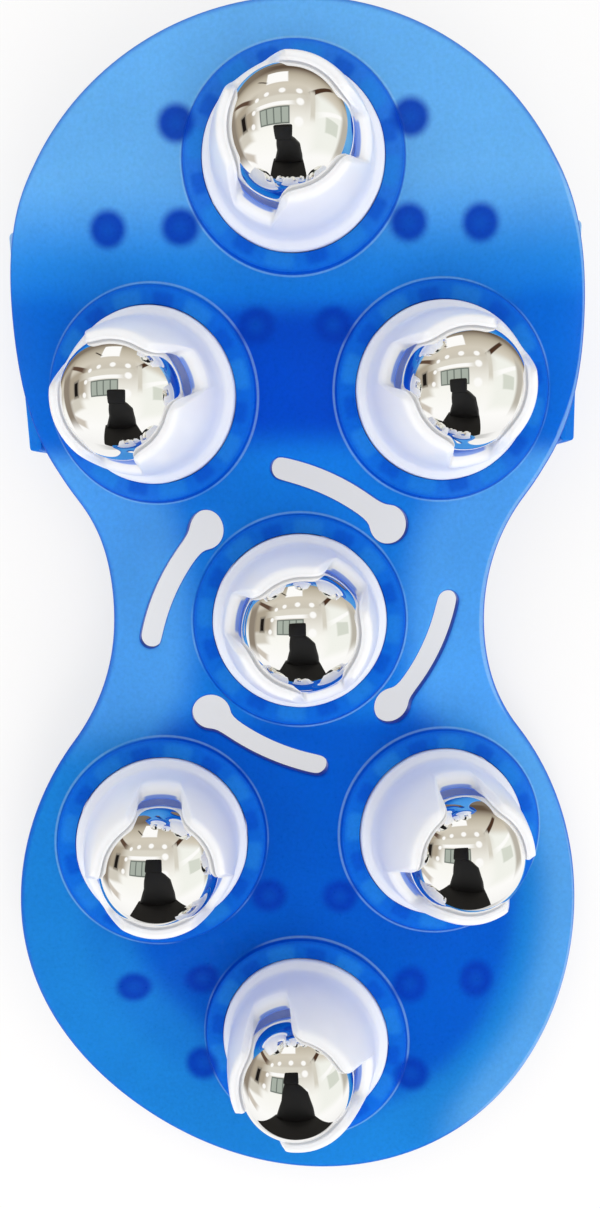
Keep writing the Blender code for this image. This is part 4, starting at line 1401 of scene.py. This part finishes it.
# How far up and down the flat map the wall's stops reach
ROOM_SPAN = 1.2
ROOM_LEVEL = 1.12
# How bright the room is for matt surfaces, straight up and at the horizon
AMBIENT_UP = 0.58
AMBIENT_SIDE = 1.48


def build_world():
    """White for the camera, soft light for matt things, a room for mirrors."""
    world = bpy.data.worlds.new("studio")
    world.use_nodes = True
    tree = world.node_tree
    tree.nodes.clear()
    direction = add_node(tree, "SeparateXYZ", {0: add_node(tree, "TexCoord").outputs["Generated"]})
    # A little over one, so that straight down isn't a division by nothing
    lift = add_node(tree, "Math", {0: direction.outputs["Z"], 1: 1.001}, operation="ADD").outputs[0]
    across = add_node(tree, "Math", {0: direction.outputs["X"], 1: lift}, operation="DIVIDE").outputs[0]
    along = add_node(tree, "Math", {0: direction.outputs["Y"], 1: lift}, operation="DIVIDE").outputs[0]
    flat = add_node(tree, "CombineXYZ", {"X": across, "Y": along}).outputs[0]
    inputs = {"Value": along, "From Min": -ROOM_SPAN, "From Max": ROOM_SPAN}
    share = add_node(tree, "MapRange", inputs).outputs["Result"]
    walls = add_node(tree, "ValToRGB", {"Fac": share})
    set_ramp(walls, WALL_STOPS)
    room = walls.outputs["Color"]
    for middle, half, turn, soft, colour in ROOM_PATCHES:
        inside = add_node(tree, "Mapping", {
            "Vector": flat, "Location": (*middle, 0.0), "Rotation": (0.0, 0.0, math.radians(turn)),
            "Scale": (*half, 1.0),
        }, vector_type="TEXTURE").outputs[0]
        inside = add_node(tree, "VectorMath", {0: inside}, operation="ABSOLUTE").outputs["Vector"]
        inside = add_node(tree, "SeparateXYZ", {0: inside})
        sides = {0: inside.outputs["X"], 1: inside.outputs["Y"]}
        far = add_node(tree, "Math", sides, operation="MAXIMUM").outputs[0]
        room = painted(tree, room, ((far, 1.0 + soft, 1.0 - soft, 1.0, colour),))

    # The panes stand between the window's bars
    window_right = WINDOW_LEFT + PANE_COUNT * PANE_WIDTH
    from_left = add_node(tree, "Math", {0: across, 1: WINDOW_LEFT}, operation="SUBTRACT").outputs[0]
    from_bar = add_node(tree, "Math", {0: from_left, 1: PANE_WIDTH / 2}, operation="PINGPONG").outputs[0]
    pane = both(tree, (
        (from_bar, BAR_HALF, GLASS_START),
        (across, WINDOW_LEFT, WINDOW_LEFT + ACROSS_SOFT),
        (across, window_right, window_right - ACROSS_SOFT),
        (along, PANE_LOW, PANE_LOW + ALONG_SOFT),
        (along, PANE_HIGH, PANE_HIGH - ALONG_SOFT),
    ))
    room = painted(tree, room, ((pane, 0.0, 1.0, 1.0, GLASS),))
    for x, y, size in SPOTS:
        gap = add_node(tree, "VectorMath", {0: flat, 1: (x, y, 0.0)}, operation="DISTANCE").outputs["Value"]
        outside, inside = (size * share for share in SPOT_EDGE)
        room = painted(tree, room, ((gap, outside, inside, 1.0, linear("FFFFFF")),))

    studio = add_node(tree, "Background", {"Color": room, "Strength": ROOM_LEVEL}).outputs[0]
    level = add_node(tree, "MapRange", {
        "Value": direction.outputs["Z"], "From Min": 1.0, "From Max": 0.0,
        "To Min": AMBIENT_UP, "To Max": AMBIENT_SIDE,
    }).outputs["Result"]
    ambient = add_node(tree, "Background", {"Color": linear("FBFCFF"), "Strength": level}).outputs[0]
    white = add_node(tree, "Background", {"Color": (1.0, 1.0, 1.0, 1.0), "Strength": 1.0}).outputs[0]
    path = add_node(tree, "LightPath")
    mirrored = path.outputs["Is Glossy Ray"]
    shown = add_node(tree, "MixShader", {"Fac": mirrored, 1: ambient, 2: studio}).outputs[0]
    shown = add_node(tree, "MixShader", {"Fac": seen_directly(tree, path), 1: shown, 2: white}).outputs[0]
    add_node(tree, "OutputWorld", {"Surface": shown})
    bpy.context.scene.world = world
    print("world:", len(tree.nodes), "nodes")


build_world()

# %% [markdown]
# The black things in the steel are the camera on its arm and the stand that
# holds it. They are stage pieces that only reflections see, so they neither
# hide the glove nor shade it.

# %% Camera stand
# Opposite corners of the camera and of the stand's base
STAND_BLOCKS = (
    ((-0.076, -0.030, 0.182), (0.016, 0.042, 0.204)),
    ((-0.215, -0.430, -0.120), (0.185, -0.350, 0.236)),
)
# How far down the room, the middle across it, and half the width there
COLUMN_SECTIONS = (
    (0.026, -0.028, 0.046), (0.040, -0.020, 0.058), (0.075, -0.006, 0.080), (0.130, 0.0, 0.094),
    (0.200, 0.0, 0.124), (0.290, -0.004, 0.160), (0.380, -0.012, 0.205),
)
COLUMN_HEIGHT = 0.213
COLUMN_DEPTH = 0.050
COLUMN_CORNER = 0.020
BLOCK_ROUND = 0.008
BLACK_PAINT = linear("08080A")


def section_outline(middle, half):
    """A rectangle across the column with round corners."""
    points = []
    for across, deep, start in ((1, 1, 0.0), (-1, 1, 0.5), (-1, -1, 1.0), (1, -1, 1.5)):
        centre = (middle + across * (half - COLUMN_CORNER), deep * (COLUMN_DEPTH / 2 - COLUMN_CORNER))
        points += arc(centre, COLUMN_CORNER, start * math.pi, (start + 0.5) * math.pi, 4, ended=True)
    return points


def build_stand():
    """A column lofted through its sections, with a block at each end."""
    material = new_material("black_painted_metal", {"Base Color": BLACK_PAINT, "Roughness": 0.6})[0]
    work = bmesh.new()
    outlines = [(section_outline(middle, half), away) for away, middle, half in COLUMN_SECTIONS]
    verts, edges = add_loop(work, *outlines[0])
    bmesh.ops.contextual_create(work, geom=edges)
    for outline, away in outlines[1:]:
        verts, edges = extrude_to(work, verts, edges, outline, away)
    bmesh.ops.contextual_create(work, geom=edges)
    laid = Matrix.Translation((0.0, 0.0, COLUMN_HEIGHT)) @ Matrix.Rotation(math.pi / 2, 4, "X")
    bmesh.ops.transform(work, matrix=laid, verts=work.verts)
    for low, high in STAND_BLOCKS:
        low, high = Vector(low), Vector(high)
        place = Matrix.Translation((low + high) / 2) @ Matrix.Diagonal((*(high - low), 1.0))
        made = bmesh.ops.create_cube(work, size=1.0, matrix=place)["verts"]
        edges = list({edge for vert in made for edge in vert.link_edges})
        bmesh.ops.bevel(
            work, geom=edges, offset=BLOCK_ROUND, segments=4, profile=0.5, affect="EDGES", material=-1
        )
    bmesh.ops.recalc_face_normals(work, faces=work.faces)
    stand = add_object(work, "camera_stand", material)
    for ray in ("camera", "diffuse", "transmission", "volume_scatter", "shadow"):
        setattr(stand, "visible_" + ray, False)


build_stand()
